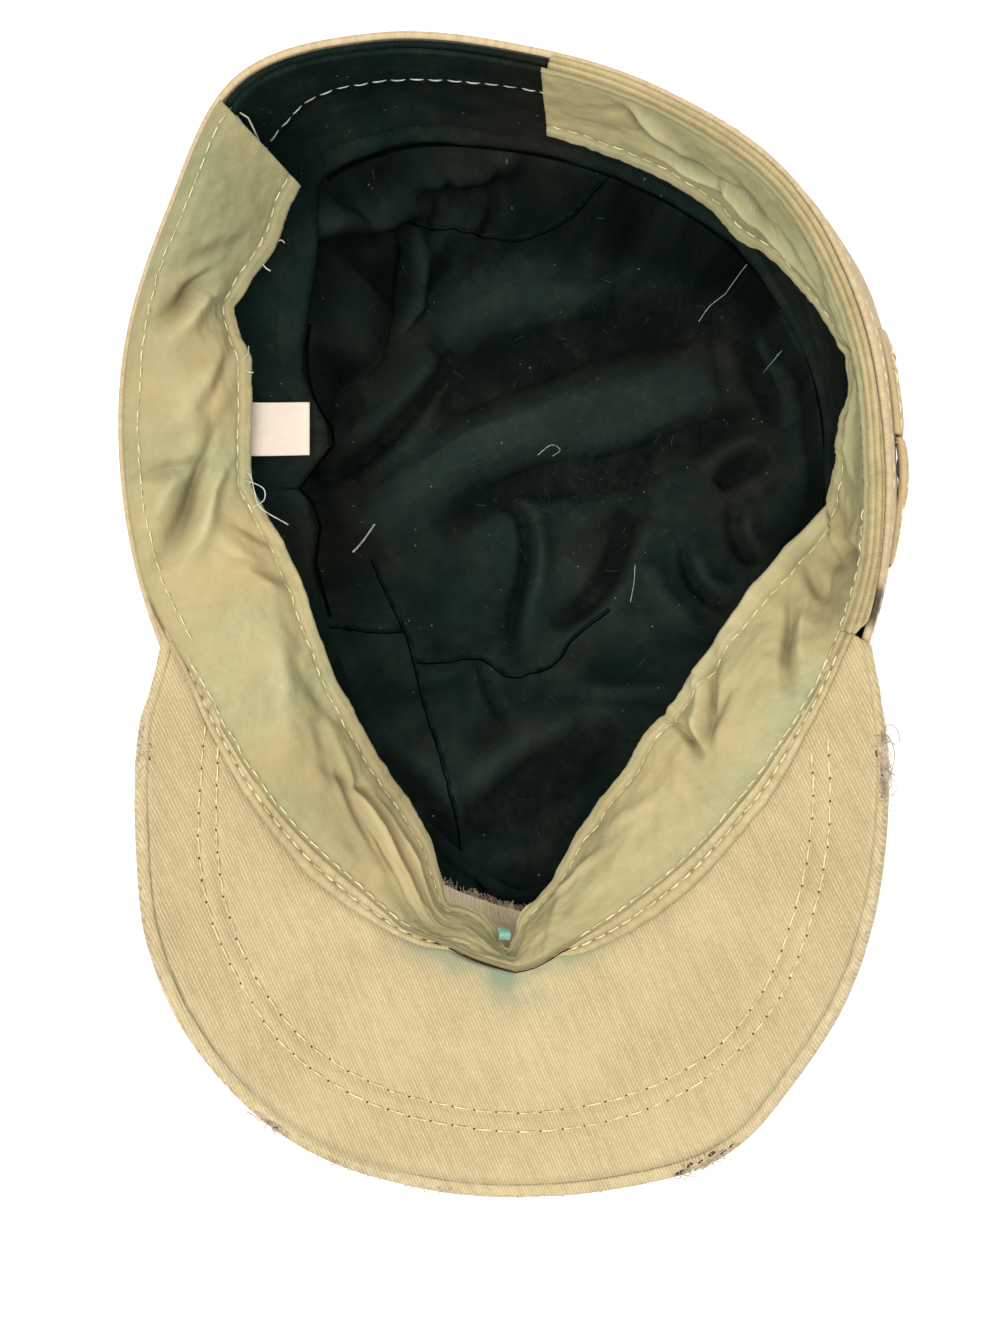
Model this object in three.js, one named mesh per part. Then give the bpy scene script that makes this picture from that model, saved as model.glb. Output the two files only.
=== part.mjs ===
// Canvas cap lying upside down on its crown: flat oval crown top on the ground,
// soft walls rising to the rim, the sweatband flopped into the mouth and the
// peak standing out at the front (-Y). Millimetres, +Z up, crown centre at X0 Y0.

import * as THREE from 'three';

// Driving dimensions.

const STATIONS = 18;            // stations round the rim, 0 at the middle front, anticlockwise
const GAP = 0.3;                // clearance between neighbouring pieces
const RIM_HEIGHT = 86.8;        // height of the rim plane above the crown centre
const RIM_PITCH = 0.185;        // rise of the rim plane per millimetre towards the back
const RIM_ROLL = 0.05;          // rise of the rim plane per millimetre to the right
const RIM_CENTRE = { x: -17, y: -27 };

const CROWN_HALF_WIDTH = 72;
const CROWN_HALF_LENGTH = 60;
const CROWN_EDGE_RADIUS = 6;

const CANVAS = 1.5;             // shell cloth with its backing
const LINING = 1.0;
const BAND_HEIGHT = 30;         // outer hat band, rim to its lower seam
const BAND_PROUD = 0.6;         // how far the hat band stands out from the panels
const STACK = 4.6;              // cloth layers between the rim's outside and the sweatband
const SWEATBAND_THICKNESS = 1.1;
const BINDING_THICKNESS = 1.2;

const PEAK_CLOTH = 1.5;
const PEAK_RISE = 0.27;         // rise above the rim plane per millimetre of reach
const PEAK_ARCH = 0.2;          // extra rise towards the two sides
const EDGING_WIDTH = 3.0;
const TAPE_WIDTH = 5.0;
const TAPE_THICKNESS = 1.2;

const LABEL_THICKNESS = 0.7;
const STRAP_THICKNESS = 1.4;
const STRAP_LIFT = 2.1;         // how far the loose part of the side strap stands off
const SNAP_RADIUS = 2.7;
const SNAP_THICKNESS = 0.8;

const LINING_HALF_WIDTH = 66;
const LINING_HALF_LENGTH = 53;
const LINING_FLOOR = 3.6;       // height of the crown lining's middle surface
const LINING_EDGE = 8;

// Colours of the cloths.

const KHAKI = 0xd6c08c;
const SHELL = 0xd7b982;
const SWEAT = 0xb3b07c;
const DARK = 0x1b2b29;

// Tables: one row for each station or fold.

// x, y: outer edge of the rim. bandIn: how far the hat band's lower seam lies
// inside the rim. bulge: how far the crown panel swells outward.
const RIM = [
  { x: -15.2, y: -132.2, bandIn: 0, bulge: 4 },
  { x: 20.1, y: -116.6, bandIn: 1, bulge: 4 },
  { x: 45.6, y: -91.9, bandIn: 1, bulge: 4 },
  { x: 60.6, y: -64.6, bandIn: -2, bulge: 3 },
  { x: 67.9, y: -39.8, bandIn: -5, bulge: 3 },
  { x: 68.3, y: -9.8, bandIn: -6.5, bulge: 3 },
  { x: 61.7, y: 20.9, bandIn: -8, bulge: 4 },
  { x: 44.9, y: 48.6, bandIn: -5, bulge: 4 },
  { x: 17.2, y: 66.7, bandIn: -2, bulge: 4 },
  { x: -13.1, y: 76.2, bandIn: -1, bulge: 4 },
  { x: -45.2, y: 79.2, bandIn: 1, bulge: 5 },
  { x: -75.7, y: 70.8, bandIn: 3, bulge: 6 },
  { x: -92.1, y: 42.6, bandIn: 5, bulge: 6 },
  { x: -102.7, y: 12.3, bandIn: 6, bulge: 6 },
  { x: -103.9, y: -20.2, bandIn: 6, bulge: 6 },
  { x: -96.9, y: -52.4, bandIn: 5, bulge: 6 },
  { x: -81.2, y: -85.2, bandIn: 4, bulge: 5 },
  { x: -52.9, y: -113.9, bandIn: 2, bulge: 4 },
];

// inward, drop: the lining band's lower edge from the rim. knee: -1 drops
// first and then runs inward, 1 runs inward first.
const LINING_BAND = [
  { inward: 18, drop: 33, knee: -1 },
  { inward: 17, drop: 33, knee: -1 },
  { inward: 17, drop: 34, knee: -0.9 },
  { inward: 14, drop: 36, knee: -0.8 },
  { inward: 8, drop: 38, knee: -0.7 },
  { inward: 5, drop: 38, knee: -0.6 },
  { inward: 5, drop: 38, knee: -0.5 },
  { inward: 8, drop: 38, knee: -0.4 },
  { inward: 9, drop: 38, knee: -0.3 },
  { inward: 10, drop: 38, knee: -0.3 },
  { inward: 13, drop: 37, knee: -0.3 },
  { inward: 21, drop: 34, knee: -0.4 },
  { inward: 31, drop: 28, knee: -0.4 },
  { inward: 37, drop: 21, knee: -0.1 },
  { inward: 37, drop: 21, knee: -0.1 },
  { inward: 36, drop: 24, knee: -0.2 },
  { inward: 32, drop: 30, knee: -0.5 },
  { inward: 24, drop: 33, knee: -0.9 },
];

// The sweatband runs from its left end at the back, past the left side, the
// folded middle front (station 18) and the right side to its right end.
const SWEATBAND = [
  { at: 11.3, inward: 22, drop: 13, knee: 0.2 },
  { at: 11.9, inward: 22.5, drop: 12, knee: 0.2 },
  { at: 12.15, inward: 20, drop: 12, knee: 0.2 },
  { at: 12.4, inward: 18.5, drop: 11, knee: 0.2 },
  { at: 12.8, inward: 26.5, drop: 9, knee: 0.3 },
  { at: 13.25, inward: 28.5, drop: 8, knee: 0.4 },
  { at: 13.95, inward: 27.5, drop: 8, knee: 0.4 },
  { at: 14.5, inward: 33.5, drop: 6, knee: 0.4 },
  { at: 14.9, inward: 35.5, drop: 6, knee: 0.4 },
  { at: 15.6, inward: 33.5, drop: 8, knee: 0.4 },
  { at: 16.4, inward: 30, drop: 13, knee: 0.3 },
  { at: 16.85, inward: 25.5, drop: 18, knee: 0.2 },
  { at: 17.15, inward: 20.5, drop: 21, knee: 0.1 },
  { at: 17.32, inward: 15, drop: 24, knee: 0 },
  { at: 17.44, inward: 9.5, drop: 26, knee: 0 },
  { at: 17.6, inward: 8.3, drop: 26, knee: 0 },
  { at: 17.75, inward: 8.3, drop: 26, knee: 0 },
  { at: 17.87, inward: 6, drop: 26, knee: 0 },
  { at: 18.03, inward: 6, drop: 26, knee: 0 },
  { at: 18.15, inward: 11, drop: 24, knee: 0 },
  { at: 18.35, inward: 15, drop: 23, knee: 0.1 },
  { at: 18.83, inward: 24.5, drop: 18, knee: 0.2 },
  { at: 19.15, inward: 29, drop: 13, knee: 0.3 },
  { at: 19.85, inward: 33, drop: 9, knee: 0.4 },
  { at: 20.6, inward: 32.5, drop: 9, knee: 0.3 },
  { at: 21.05, inward: 31, drop: 10, knee: 0.2 },
  { at: 21.8, inward: 27, drop: 14, knee: -0.3 },
  { at: 22.3, inward: 20, drop: 20, knee: -0.7 },
  { at: 22.7, inward: 10.5, drop: 26, knee: -0.7 },
  { at: 23.2, inward: 6.5, drop: 28, knee: -0.5 },
  { at: 23.7, inward: 6, drop: 28, knee: -0.3 },
  { at: 24.6, inward: 6.4, drop: 28, knee: 0 },
  { at: 25.0, inward: 8.4, drop: 27, knee: 0.1 },
  { at: 26.0, inward: 8.4, drop: 27, knee: 0 },
  { at: 26.68, inward: 8, drop: 27, knee: 0 },
];

// Outer outline of the peak from its left root to its right root.
const PEAK_OUTLINE = [
  { x: -99.2, y: -60 },
  { x: -101, y: -76 },
  { x: -101.1, y: -96 },
  { x: -97.9, y: -123 },
  { x: -86.4, y: -148 },
  { x: -64.8, y: -169.5 },
  { x: -35.4, y: -180.5 },
  { x: -5.8, y: -181.8 },
  { x: 21, y: -176 },
  { x: 35.6, y: -167.8 },
  { x: 47, y: -153.4 },
  { x: 58.8, y: -133 },
  { x: 65.3, y: -109.7 },
  { x: 68, y: -83.4 },
  { x: 68, y: -66 },
  { x: 67.9, y: -53.4 },
];
const PEAK_FROM = 15.1;
const PEAK_TO = 21.55;

// Pieces on the right side of the hat band: stations and drops from the rim.
const SIDE_TAB = { from: 5.13, to: 5.85, top: 6, foot: 26 };
const SIDE_STRAP = { from: 4.2, to: 5.11, top: 8, foot: 24 };
const SNAP_PLACE = { at: 4.9, drop: 16 };

// The label on the left of the lining band: stations, and reach down its section.
const LABEL = { from: 13.18, to: 13.56, top: 0.66, foot: 1.06 };

// Folds of the crown lining: middle x, y, run of the ridge in degrees, half
// length, half width and height (negative for a valley).
const LINING_FOLDS = [
  { x: -20, y: 22, turn: 38, half: 42, width: 9, height: 7 },
  { x: 8, y: -4, turn: 34, half: 40, width: 8, height: 6 },
  { x: 34, y: 18, turn: 48, half: 26, width: 8, height: 5 },
  { x: -42, y: 4, turn: 60, half: 22, width: 7, height: 5 },
  { x: 26, y: -30, turn: 20, half: 26, width: 8, height: 5 },
  { x: -36, y: -26, turn: 25, half: 20, width: 7, height: 4 },
];

// Dents of the outer walls: station, place down the panel, size and depth.
const WALL_DENTS = [
  { at: 1.9, down: 0.5, spanStations: 0.8, spanDown: 0.5, depth: 2.0 },
  { at: 8.6, down: 0.55, spanStations: 0.9, spanDown: 0.35, depth: 3.0 },
  { at: 11.6, down: 0.45, spanStations: 0.7, spanDown: 0.35, depth: 3.0 },
  { at: 14.2, down: 0.5, spanStations: 0.9, spanDown: 0.3, depth: 3.5 },
  { at: 16.6, down: 0.6, spanStations: 0.6, spanDown: 0.35, depth: 2.5 },
];

// Curves.

const wrap = (s) => ((s % STATIONS) + STATIONS) % STATIONS;
const rimPlane = (x, y) => RIM_HEIGHT + RIM_PITCH * y + RIM_ROLL * x;
const closedThrough = (points) => new THREE.CatmullRomCurve3(points, true, 'catmullrom', 0.5);

const rimCurve = closedThrough(RIM.map((r) => new THREE.Vector3(r.x, r.y, rimPlane(r.x, r.y))));
const wallCurve = closedThrough(RIM.map((r) => new THREE.Vector3(r.bandIn, r.bulge, 0)));
const liningCurve = closedThrough(
  LINING_BAND.map((r) => new THREE.Vector3(r.inward, r.drop, r.knee)),
);

const rimAt = (s) => rimCurve.getPoint(wrap(s) / STATIONS);

function inwardAt(s) {
  const ahead = rimAt(s + 0.25);
  const behind = rimAt(s - 0.25);
  const along = ahead.sub(behind);
  return new THREE.Vector3(-along.y, along.x, 0).normalize();
}

// A point given by how far it lies inward of the rim and below it.
function fromRim(s, inward, drop) {
  const point = rimAt(s).addScaledVector(inwardAt(s), inward);
  point.z = rimAt(s).z - drop;
  return point;
}

// Reads a row table with an "at" column at any place.
function tableAt(rows, at, column) {
  let i = 0;
  while (i < rows.length - 2 && rows[i + 1].at < at) {
    i += 1;
  }
  const low = rows[i];
  const high = rows[i + 1];
  const t = THREE.MathUtils.clamp((at - low.at) / (high.at - low.at), 0, 1);
  return THREE.MathUtils.lerp(low[column], high[column], t);
}

function ovalAt(s, halfWidth, halfLength) {
  const rim = rimAt(s);
  const angle = Math.atan2(rim.y - RIM_CENTRE.y, rim.x - RIM_CENTRE.x);
  return new THREE.Vector3(halfWidth * Math.cos(angle), halfLength * Math.sin(angle), 0);
}

// A strip's section: it starts at the rim, turns at its knee and ends at its free edge.
function stripSection(start, end, knee, t) {
  const turn = new THREE.Vector3(
    start.x + (end.x - start.x) * (1 + knee) / 2,
    start.y + (end.y - start.y) * (1 + knee) / 2,
    start.z + (end.z - start.z) * (1 - knee) / 2,
  );
  return new THREE.CubicBezierCurve3(start, turn, turn, end).getPoint(t);
}

// Surfaces: s runs round the cap, t runs away from the rim.

function bandSurface(s, t) {
  const { x: bandIn } = wallCurve.getPoint(wrap(s) / STATIONS);
  const drop = Math.sqrt(BAND_HEIGHT ** 2 - bandIn ** 2);
  return fromRim(s, bandIn * t * (2 - t), GAP + (drop - GAP) * t);
}

function panelSurface(s, t) {
  const { x: bandIn, y: bulge } = wallCurve.getPoint(wrap(s) / STATIONS);
  const drop = Math.sqrt(BAND_HEIGHT ** 2 - bandIn ** 2) + GAP;
  const top = fromRim(s, bandIn, drop);
  const foot = ovalAt(s, CROWN_HALF_WIDTH, CROWN_HALF_LENGTH);
  foot.z = CROWN_EDGE_RADIUS + GAP;
  // A leaning panel starts lower, so that its thickness clears the band.
  const lean = Math.hypot(top.x - foot.x, top.y - foot.y) / top.distanceTo(foot);
  top.z -= CANVAS * lean;
  const point = top.lerp(foot, t);
  let swell = bulge * Math.sin(Math.PI * t ** 0.8);
  for (const dent of WALL_DENTS) {
    const across = (wrap(s - dent.at + STATIONS / 2) - STATIONS / 2) / dent.spanStations;
    const down = (t - dent.down) / dent.spanDown;
    swell -= dent.depth * Math.exp(-across * across - down * down) * Math.sin(Math.PI * t);
  }
  return point.addScaledVector(inwardAt(s), -swell);
}

// The crown top: wall foot at t = 0, round the edge, then flat to the middle at t = 1.
function crownSurface(s, t) {
  const bend = 0.25;
  if (t <= bend) {
    const angle = (Math.PI / 2) * (t / bend);
    const inset = CROWN_EDGE_RADIUS * (1 - Math.cos(angle));
    const point = ovalAt(s, CROWN_HALF_WIDTH - inset, CROWN_HALF_LENGTH - inset);
    point.z = CROWN_EDGE_RADIUS * (1 - Math.sin(angle));
    return point;
  }
  const reach = 1 - (t - bend) / (1 - bend);
  const flat = ovalAt(
    s,
    CROWN_HALF_WIDTH - CROWN_EDGE_RADIUS,
    CROWN_HALF_LENGTH - CROWN_EDGE_RADIUS,
  );
  return flat.multiplyScalar(reach);
}

function liningBandSurface(s, t) {
  const { x: inward, y: drop, z: knee } = liningCurve.getPoint(wrap(s) / STATIONS);
  const start = fromRim(s, CANVAS + GAP + LINING, 1.5);
  return stripSection(start, fromRim(s, inward, drop), knee, t);
}

function liningWallSurface(s, t) {
  const { x: inward, y: drop } = liningCurve.getPoint(wrap(s) / STATIONS);
  const top = fromRim(s, inward, drop + GAP);
  const foot = ovalAt(s, LINING_HALF_WIDTH, LINING_HALF_LENGTH);
  foot.z = LINING_EDGE;
  const ripple = 1.2 * Math.sin(s * 5.3) * Math.sin(Math.PI * t);
  return top.lerp(foot, t).addScaledVector(inwardAt(s), 1.2 + ripple - 1.2 * t);
}

function foldHeight(x, y) {
  let height = 0;
  for (const fold of LINING_FOLDS) {
    const turn = THREE.MathUtils.degToRad(fold.turn);
    const along = ((x - fold.x) * Math.cos(turn) + (y - fold.y) * Math.sin(turn)) / fold.half;
    const across = ((y - fold.y) * Math.cos(turn) - (x - fold.x) * Math.sin(turn)) / fold.width;
    height += fold.height * Math.exp(-along * along - across * across);
  }
  return height;
}

function liningTopSurface(s, t) {
  const point = ovalAt(s, LINING_HALF_WIDTH - 0.6, LINING_HALF_LENGTH - 0.6);
  point.multiplyScalar(1 - t);
  const edge = (1 - t) ** 3;
  point.z = LINING_FLOOR + (LINING_EDGE - LINING - 2 * GAP - LINING_FLOOR) * edge;
  point.z += foldHeight(point.x, point.y) * (1 - (1 - t) ** 4);
  return point;
}

function sweatbandSurface(s, t) {
  const inward = tableAt(SWEATBAND, s, 'inward');
  const drop = tableAt(SWEATBAND, s, 'drop');
  const knee = tableAt(SWEATBAND, s, 'knee');
  const start = fromRim(s, STACK, 0);
  const end = fromRim(s, inward, drop);
  const point = stripSection(start, end, knee, t);
  // The long slanting crease on the left side.
  const across = (s - 13.95 - 0.25 * (t - 0.5)) / 0.14;
  const down = (t - 0.55) / 0.3;
  point.z -= 2.4 * Math.exp(-across * across - down * down);
  return point;
}

function bindingSurface(s, t) {
  const start = CANVAS + GAP;
  const point = fromRim(s, start + (STACK - 3 * GAP - start) * t, 0);
  point.z += 0.5 * Math.sin(Math.PI * t);
  return point;
}

const peakCurve = new THREE.CatmullRomCurve3(
  PEAK_OUTLINE.map((p) => new THREE.Vector3(p.x, p.y, 0)),
  false,
  'catmullrom',
  0.5,
);

// The peak's lower face, which looks up: at the rim at t = 0, at its outline at t = 1.
function peakSurface(s, t) {
  const fraction = (s - PEAK_FROM) / (PEAK_TO - PEAK_FROM);
  const root = fromRim(s, -BAND_PROUD - GAP, 0);
  const outer = peakCurve.getPointAt(THREE.MathUtils.clamp(fraction, 0, 1));
  const point = root.clone().lerp(outer, t);
  const reach = Math.hypot(point.x - root.x, point.y - root.y);
  const side = (point.x - RIM_CENTRE.x) / 85;
  point.z = rimPlane(point.x, point.y) - 0.4 + reach * (PEAK_RISE + PEAK_ARCH * side * side);
  return point;
}

// How far along t the peak's cloth stops, so that the edging keeps its width.
function peakEdge(s, inset) {
  const span = peakSurface(s, 1).distanceTo(peakSurface(s, 0));
  return Math.max(0.25, 1 - inset / span);
}

// Solids.

const range = (from, to, steps) =>
  Array.from({ length: steps + 1 }, (_, i) => from + ((to - from) * i) / steps);
const evaluate = (value, s, t) => (typeof value === 'function' ? value(s, t) : value);

const NUDGE = 0.04;             // step in s and t over which a normal is measured

// Gives a surface a thickness: "above" and "below" are offsets along its normal.
// closed joins the last column to the first, pole shrinks the last row to a point.
function slab({ surface, along, away, above, below, closed = false, pole = false }) {
  const columns = along.length;
  const rows = away.length;
  const grid = along.map((s) => away.map((t) => surface(s, t)));
  const column = (i) => (closed ? (i + columns) % columns : i);
  const near = (t) => THREE.MathUtils.clamp(t, away[0], away[rows - 1]);
  const normalAt = (i, j) => {
    const s = along[i];
    const t = away[j];
    const u = surface(s + NUDGE, t).sub(surface(s - NUDGE, t));
    const v = surface(s, near(t + NUDGE)).sub(surface(s, near(t - NUDGE)));
    return v.cross(u).normalize();
  };
  const positions = [];
  const place = (i, j, offset) => {
    const normal = pole && j === rows - 1 ? new THREE.Vector3(0, 0, -1) : normalAt(i, j);
    const point = grid[i][j].clone().addScaledVector(normal, offset);
    positions.push(point.x, point.y, point.z);
    return positions.length / 3 - 1;
  };
  const sheet = (offset) => {
    const poleIndex = pole
      ? place(0, rows - 1, evaluate(offset, along[0], away[rows - 1]))
      : -1;
    return along.map((s, i) =>
      away.map((t, j) =>
        pole && j === rows - 1 ? poleIndex : place(i, j, evaluate(offset, s, t)),
      ),
    );
  };
  const upper = sheet(above);
  const lower = sheet(below);
  const faces = [];
  const triangle = (a, b, c) => {
    if (a !== b && b !== c && c !== a) {
      faces.push(a, b, c);
    }
  };
  const quad = (a, b, c, d) => {
    triangle(a, b, c);
    triangle(a, c, d);
  };
  const spans = closed ? columns : columns - 1;
  for (let i = 0; i < spans; i += 1) {
    const n = column(i + 1);
    for (let j = 0; j < rows - 1; j += 1) {
      quad(upper[i][j], upper[i][j + 1], upper[n][j + 1], upper[n][j]);
      quad(lower[i][j], lower[n][j], lower[n][j + 1], lower[i][j + 1]);
    }
    quad(upper[i][0], upper[n][0], lower[n][0], lower[i][0]);
    if (!pole) {
      const e = rows - 1;
      quad(upper[i][e], lower[i][e], lower[n][e], upper[n][e]);
    }
  }
  if (!closed) {
    const e = columns - 1;
    for (let j = 0; j < rows - 1; j += 1) {
      quad(upper[0][j], lower[0][j], lower[0][j + 1], upper[0][j + 1]);
      quad(upper[e][j], upper[e][j + 1], lower[e][j + 1], lower[e][j]);
    }
  }
  const geometry = new THREE.BufferGeometry();
  geometry.setAttribute('position', new THREE.Float32BufferAttribute(positions, 3));
  geometry.setIndex(faces);
  geometry.computeVertexNormals();
  return geometry;
}

const cloth = (color, roughness = 0.9) =>
  new THREE.MeshStandardMaterial({ color, roughness, metalness: 0 });

function piece(name, geometry, material) {
  const mesh = new THREE.Mesh(geometry, material);
  mesh.name = name;
  return mesh;
}

// Columns round the whole cap, or over part of it with a gap left at each end.
const COLUMN = 1 / 3;
const ROUND = range(0, STATIONS, STATIONS / COLUMN).slice(0, -1);
const SEAM = GAP / 33 / 2;
const stretch = (from, to, steps) => range(from + SEAM, to - SEAM, steps);

const ROW = 0.25;               // rows of the lining band

// The places of a grid with the given step between two ends, with both ends.
function placesBetween(from, to, step) {
  const first = Math.ceil(from / step + 0.1);
  const last = Math.floor(to / step - 0.1);
  const inner = Array.from({ length: last - first + 1 }, (_, i) => (first + i) * step);
  return [from, ...inner, to];
}

// A flat piece that lies on the lining band, with its columns and rows on the band's own.
function onLining({ from, to, top, foot }, thickness) {
  return slab({
    surface: liningBandSurface,
    along: placesBetween(from, to, COLUMN),
    away: placesBetween(top, foot, ROW),
    above: -LINING - 2 * GAP,
    below: -LINING - 2 * GAP - thickness,
  });
}

// Shell.

const shell = new THREE.Group();
shell.add(
  piece(
    'crown_top',
    slab({
      surface: crownSurface,
      along: ROUND,
      away: [0, 0.08, 0.165, 0.25, 0.6, 1],
      above: 0,
      below: -CANVAS,
      closed: true,
      pole: true,
    }),
    cloth(SHELL),
  ),
);
const SHELL_PANELS = [
  { name: 'crown_front', from: -2, to: 2, steps: 12 },
  { name: 'crown_side_right', from: 2, to: 7, steps: 15 },
  { name: 'crown_back', from: 7, to: 11, steps: 12 },
  { name: 'crown_side_left', from: 11, to: 16, steps: 15 },
];
for (const panel of SHELL_PANELS) {
  shell.add(
    piece(
      panel.name,
      slab({
        surface: panelSurface,
        along: stretch(panel.from, panel.to, panel.steps),
        away: range(0, 1, 5),
        above: 0,
        below: -CANVAS,
      }),
      cloth(SHELL),
    ),
  );
}
shell.add(
  piece(
    'hat_band',
    slab({
      surface: bandSurface,
      along: ROUND,
      away: range(0, 1, 3),
      above: BAND_PROUD,
      below: BAND_PROUD - CANVAS,
      closed: true,
    }),
    cloth(SHELL),
  ),
);

// Lining.

const lining = new THREE.Group();
lining.add(
  piece(
    'lining_band',
    slab({
      surface: liningBandSurface,
      along: ROUND,
      away: range(0, 1, 4),
      above: 0,
      below: -LINING,
      closed: true,
    }),
    cloth(DARK, 0.85),
  ),
);
const LINING_PANELS = [
  { name: 'lining_front_right', from: -0.28, to: 2.2, steps: 8 },
  { name: 'lining_side_right', from: 2.2, to: 7, steps: 15 },
  { name: 'lining_back', from: 7, to: 11, steps: 12 },
  { name: 'lining_side_left', from: 11, to: 15.8, steps: 15 },
  { name: 'lining_front_left', from: 15.8, to: 17.72, steps: 6 },
];
for (const panel of LINING_PANELS) {
  lining.add(
    piece(
      panel.name,
      slab({
        surface: liningWallSurface,
        along: stretch(panel.from, panel.to, panel.steps),
        away: range(0, 1, 4),
        above: 0,
        below: -LINING,
      }),
      cloth(DARK, 0.85),
    ),
  );
}
lining.add(
  piece(
    'lining_top',
    slab({
      surface: liningTopSurface,
      along: ROUND,
      away: range(0, 1, 8),
      above: 0,
      below: -LINING,
      closed: true,
      pole: true,
    }),
    cloth(DARK, 0.85),
  ),
);
lining.add(
  piece(
    'back_facing',
    onLining({ from: 8.72, to: 11.22, top: 0, foot: 0.3 }, LINING),
    cloth(DARK, 0.85),
  ),
);

// Rim and sweatband.

const headwear = new THREE.Group();
headwear.add(
  piece(
    'rim_binding',
    slab({
      surface: bindingSurface,
      along: range(11.25, 26.65, 46),
      away: range(0, 1, 2),
      above: 0,
      below: -BINDING_THICKNESS,
    }),
    cloth(SHELL),
  ),
);
const hemThickness = (s, t) => (t > 0.88 ? SWEATBAND_THICKNESS * 1.5 : SWEATBAND_THICKNESS);
const sweatColumns = [
  ...range(11.32, 17.12, 22),
  ...range(17.22, 18.4, 12),
  ...range(18.55, 26.66, 28),
];
headwear.add(
  piece(
    'sweatband',
    slab({
      surface: sweatbandSurface,
      along: sweatColumns,
      away: [0, 0.22, 0.45, 0.68, 0.87, 1],
      above: 0,
      below: (s, t) => -hemThickness(s, t),
    }),
    cloth(SWEAT, 0.7),
  ),
);
headwear.add(
  piece(
    'front_allowance',
    onLining({ from: 17.2, to: 18.6, top: 0.5, foot: 1 }, LINING),
    cloth(SHELL),
  ),
);

// Peak.

const peak = new THREE.Group();
const PEAK_COLUMNS = range(PEAK_FROM, PEAK_TO, 32);
const peakBody = (s, t) => peakSurface(s, t * peakEdge(s, EDGING_WIDTH + GAP));
peak.add(
  piece(
    'peak_under',
    slab({
      surface: peakBody,
      along: PEAK_COLUMNS,
      away: range(0, 1, 3),
      above: 0,
      below: -PEAK_CLOTH,
    }),
    cloth(KHAKI),
  ),
);
peak.add(
  piece(
    'peak_upper',
    slab({
      surface: peakBody,
      along: PEAK_COLUMNS,
      away: range(0, 1, 3),
      above: -PEAK_CLOTH - GAP,
      below: -2 * PEAK_CLOTH - GAP,
    }),
    cloth(SHELL),
  ),
);
peak.add(
  piece(
    'peak_edging',
    slab({
      surface: (s, t) => {
        const inner = peakEdge(s, EDGING_WIDTH);
        return peakSurface(s, inner + (1 - inner) * t);
      },
      along: PEAK_COLUMNS,
      away: range(0, 1, 2),
      above: (s, t) => 0.2 - 0.6 * t * t,
      below: (s, t) => -2 * PEAK_CLOTH - GAP - 0.2 + 0.6 * t * t,
    }),
    cloth(KHAKI),
  ),
);
peak.add(
  piece(
    'peak_seam_tape',
    slab({
      surface: (s, t) => {
        const inward = STACK - 0.4 - TAPE_WIDTH * (1 - t);
        const point = fromRim(s, inward, -BINDING_THICKNESS - 3 * GAP);
        point.z += 0.5 * Math.sin(Math.PI * t);
        return point;
      },
      along: range(PEAK_FROM + 0.05, PEAK_TO - 0.05, 32),
      away: range(0, 1, 2),
      above: 0,
      below: -TAPE_THICKNESS,
    }),
    cloth(KHAKI),
  ),
);

// Label, side tab, strap and snap.

const fittings = new THREE.Group();
fittings.add(
  piece(
    'label',
    onLining(LABEL, LABEL_THICKNESS),
    cloth(0xf4efe6, 0.6),
  ),
);

const strapLift = (s) => {
  const loose = THREE.MathUtils.clamp((s - 4.62) / 0.5, 0, 1);
  return STRAP_LIFT * Math.sqrt(Math.sin(Math.PI * loose));
};
function onBand(name, spot, steps, lift) {
  const floor = (s) => BAND_PROUD + GAP + lift(s);
  return piece(
    name,
    slab({
      surface: bandSurface,
      along: range(spot.from, spot.to, steps),
      away: range(spot.top / BAND_HEIGHT, spot.foot / BAND_HEIGHT, 2),
      above: (s) => floor(s) + STRAP_THICKNESS,
      below: floor,
    }),
    cloth(SHELL),
  );
}
fittings.add(onBand('side_tab', SIDE_TAB, 4, () => 0));
fittings.add(onBand('side_strap', SIDE_STRAP, 14, strapLift));

const snapSeat = bandSurface(SNAP_PLACE.at, SNAP_PLACE.drop / BAND_HEIGHT);
const snapAxis = inwardAt(SNAP_PLACE.at).negate();
const snap = piece(
  'strap_snap',
  new THREE.CylinderGeometry(SNAP_RADIUS, SNAP_RADIUS, SNAP_THICKNESS, 24),
  new THREE.MeshStandardMaterial({ color: 0xc9bfd6, roughness: 0.4, metalness: 0.6 }),
);
snap.quaternion.setFromUnitVectors(new THREE.Vector3(0, 1, 0), snapAxis);
snap.position.copy(snapSeat);
snap.position.addScaledVector(snapAxis, BAND_PROUD + 3 * GAP + SNAP_THICKNESS / 2);
fittings.add(snap);

const cap = new THREE.Group();
cap.add(shell, lining, headwear, peak, fittings);

export default cap;
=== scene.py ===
"""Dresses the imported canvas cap: shell, lining, sweatband, peak, stitching and frayed threads.

The cap lies upside down on its crown. Shapes are worked out in millimetres in
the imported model's frame, on surfaces that run round the cap (s, in stations of
the rim) and away from the rim (t, from 0 to 1), and are made in metres.
"""
import logging
import math
from dataclasses import dataclass, field
from enum import Enum
from functools import reduce
from typing import Callable, Optional, Sequence, Union

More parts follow.
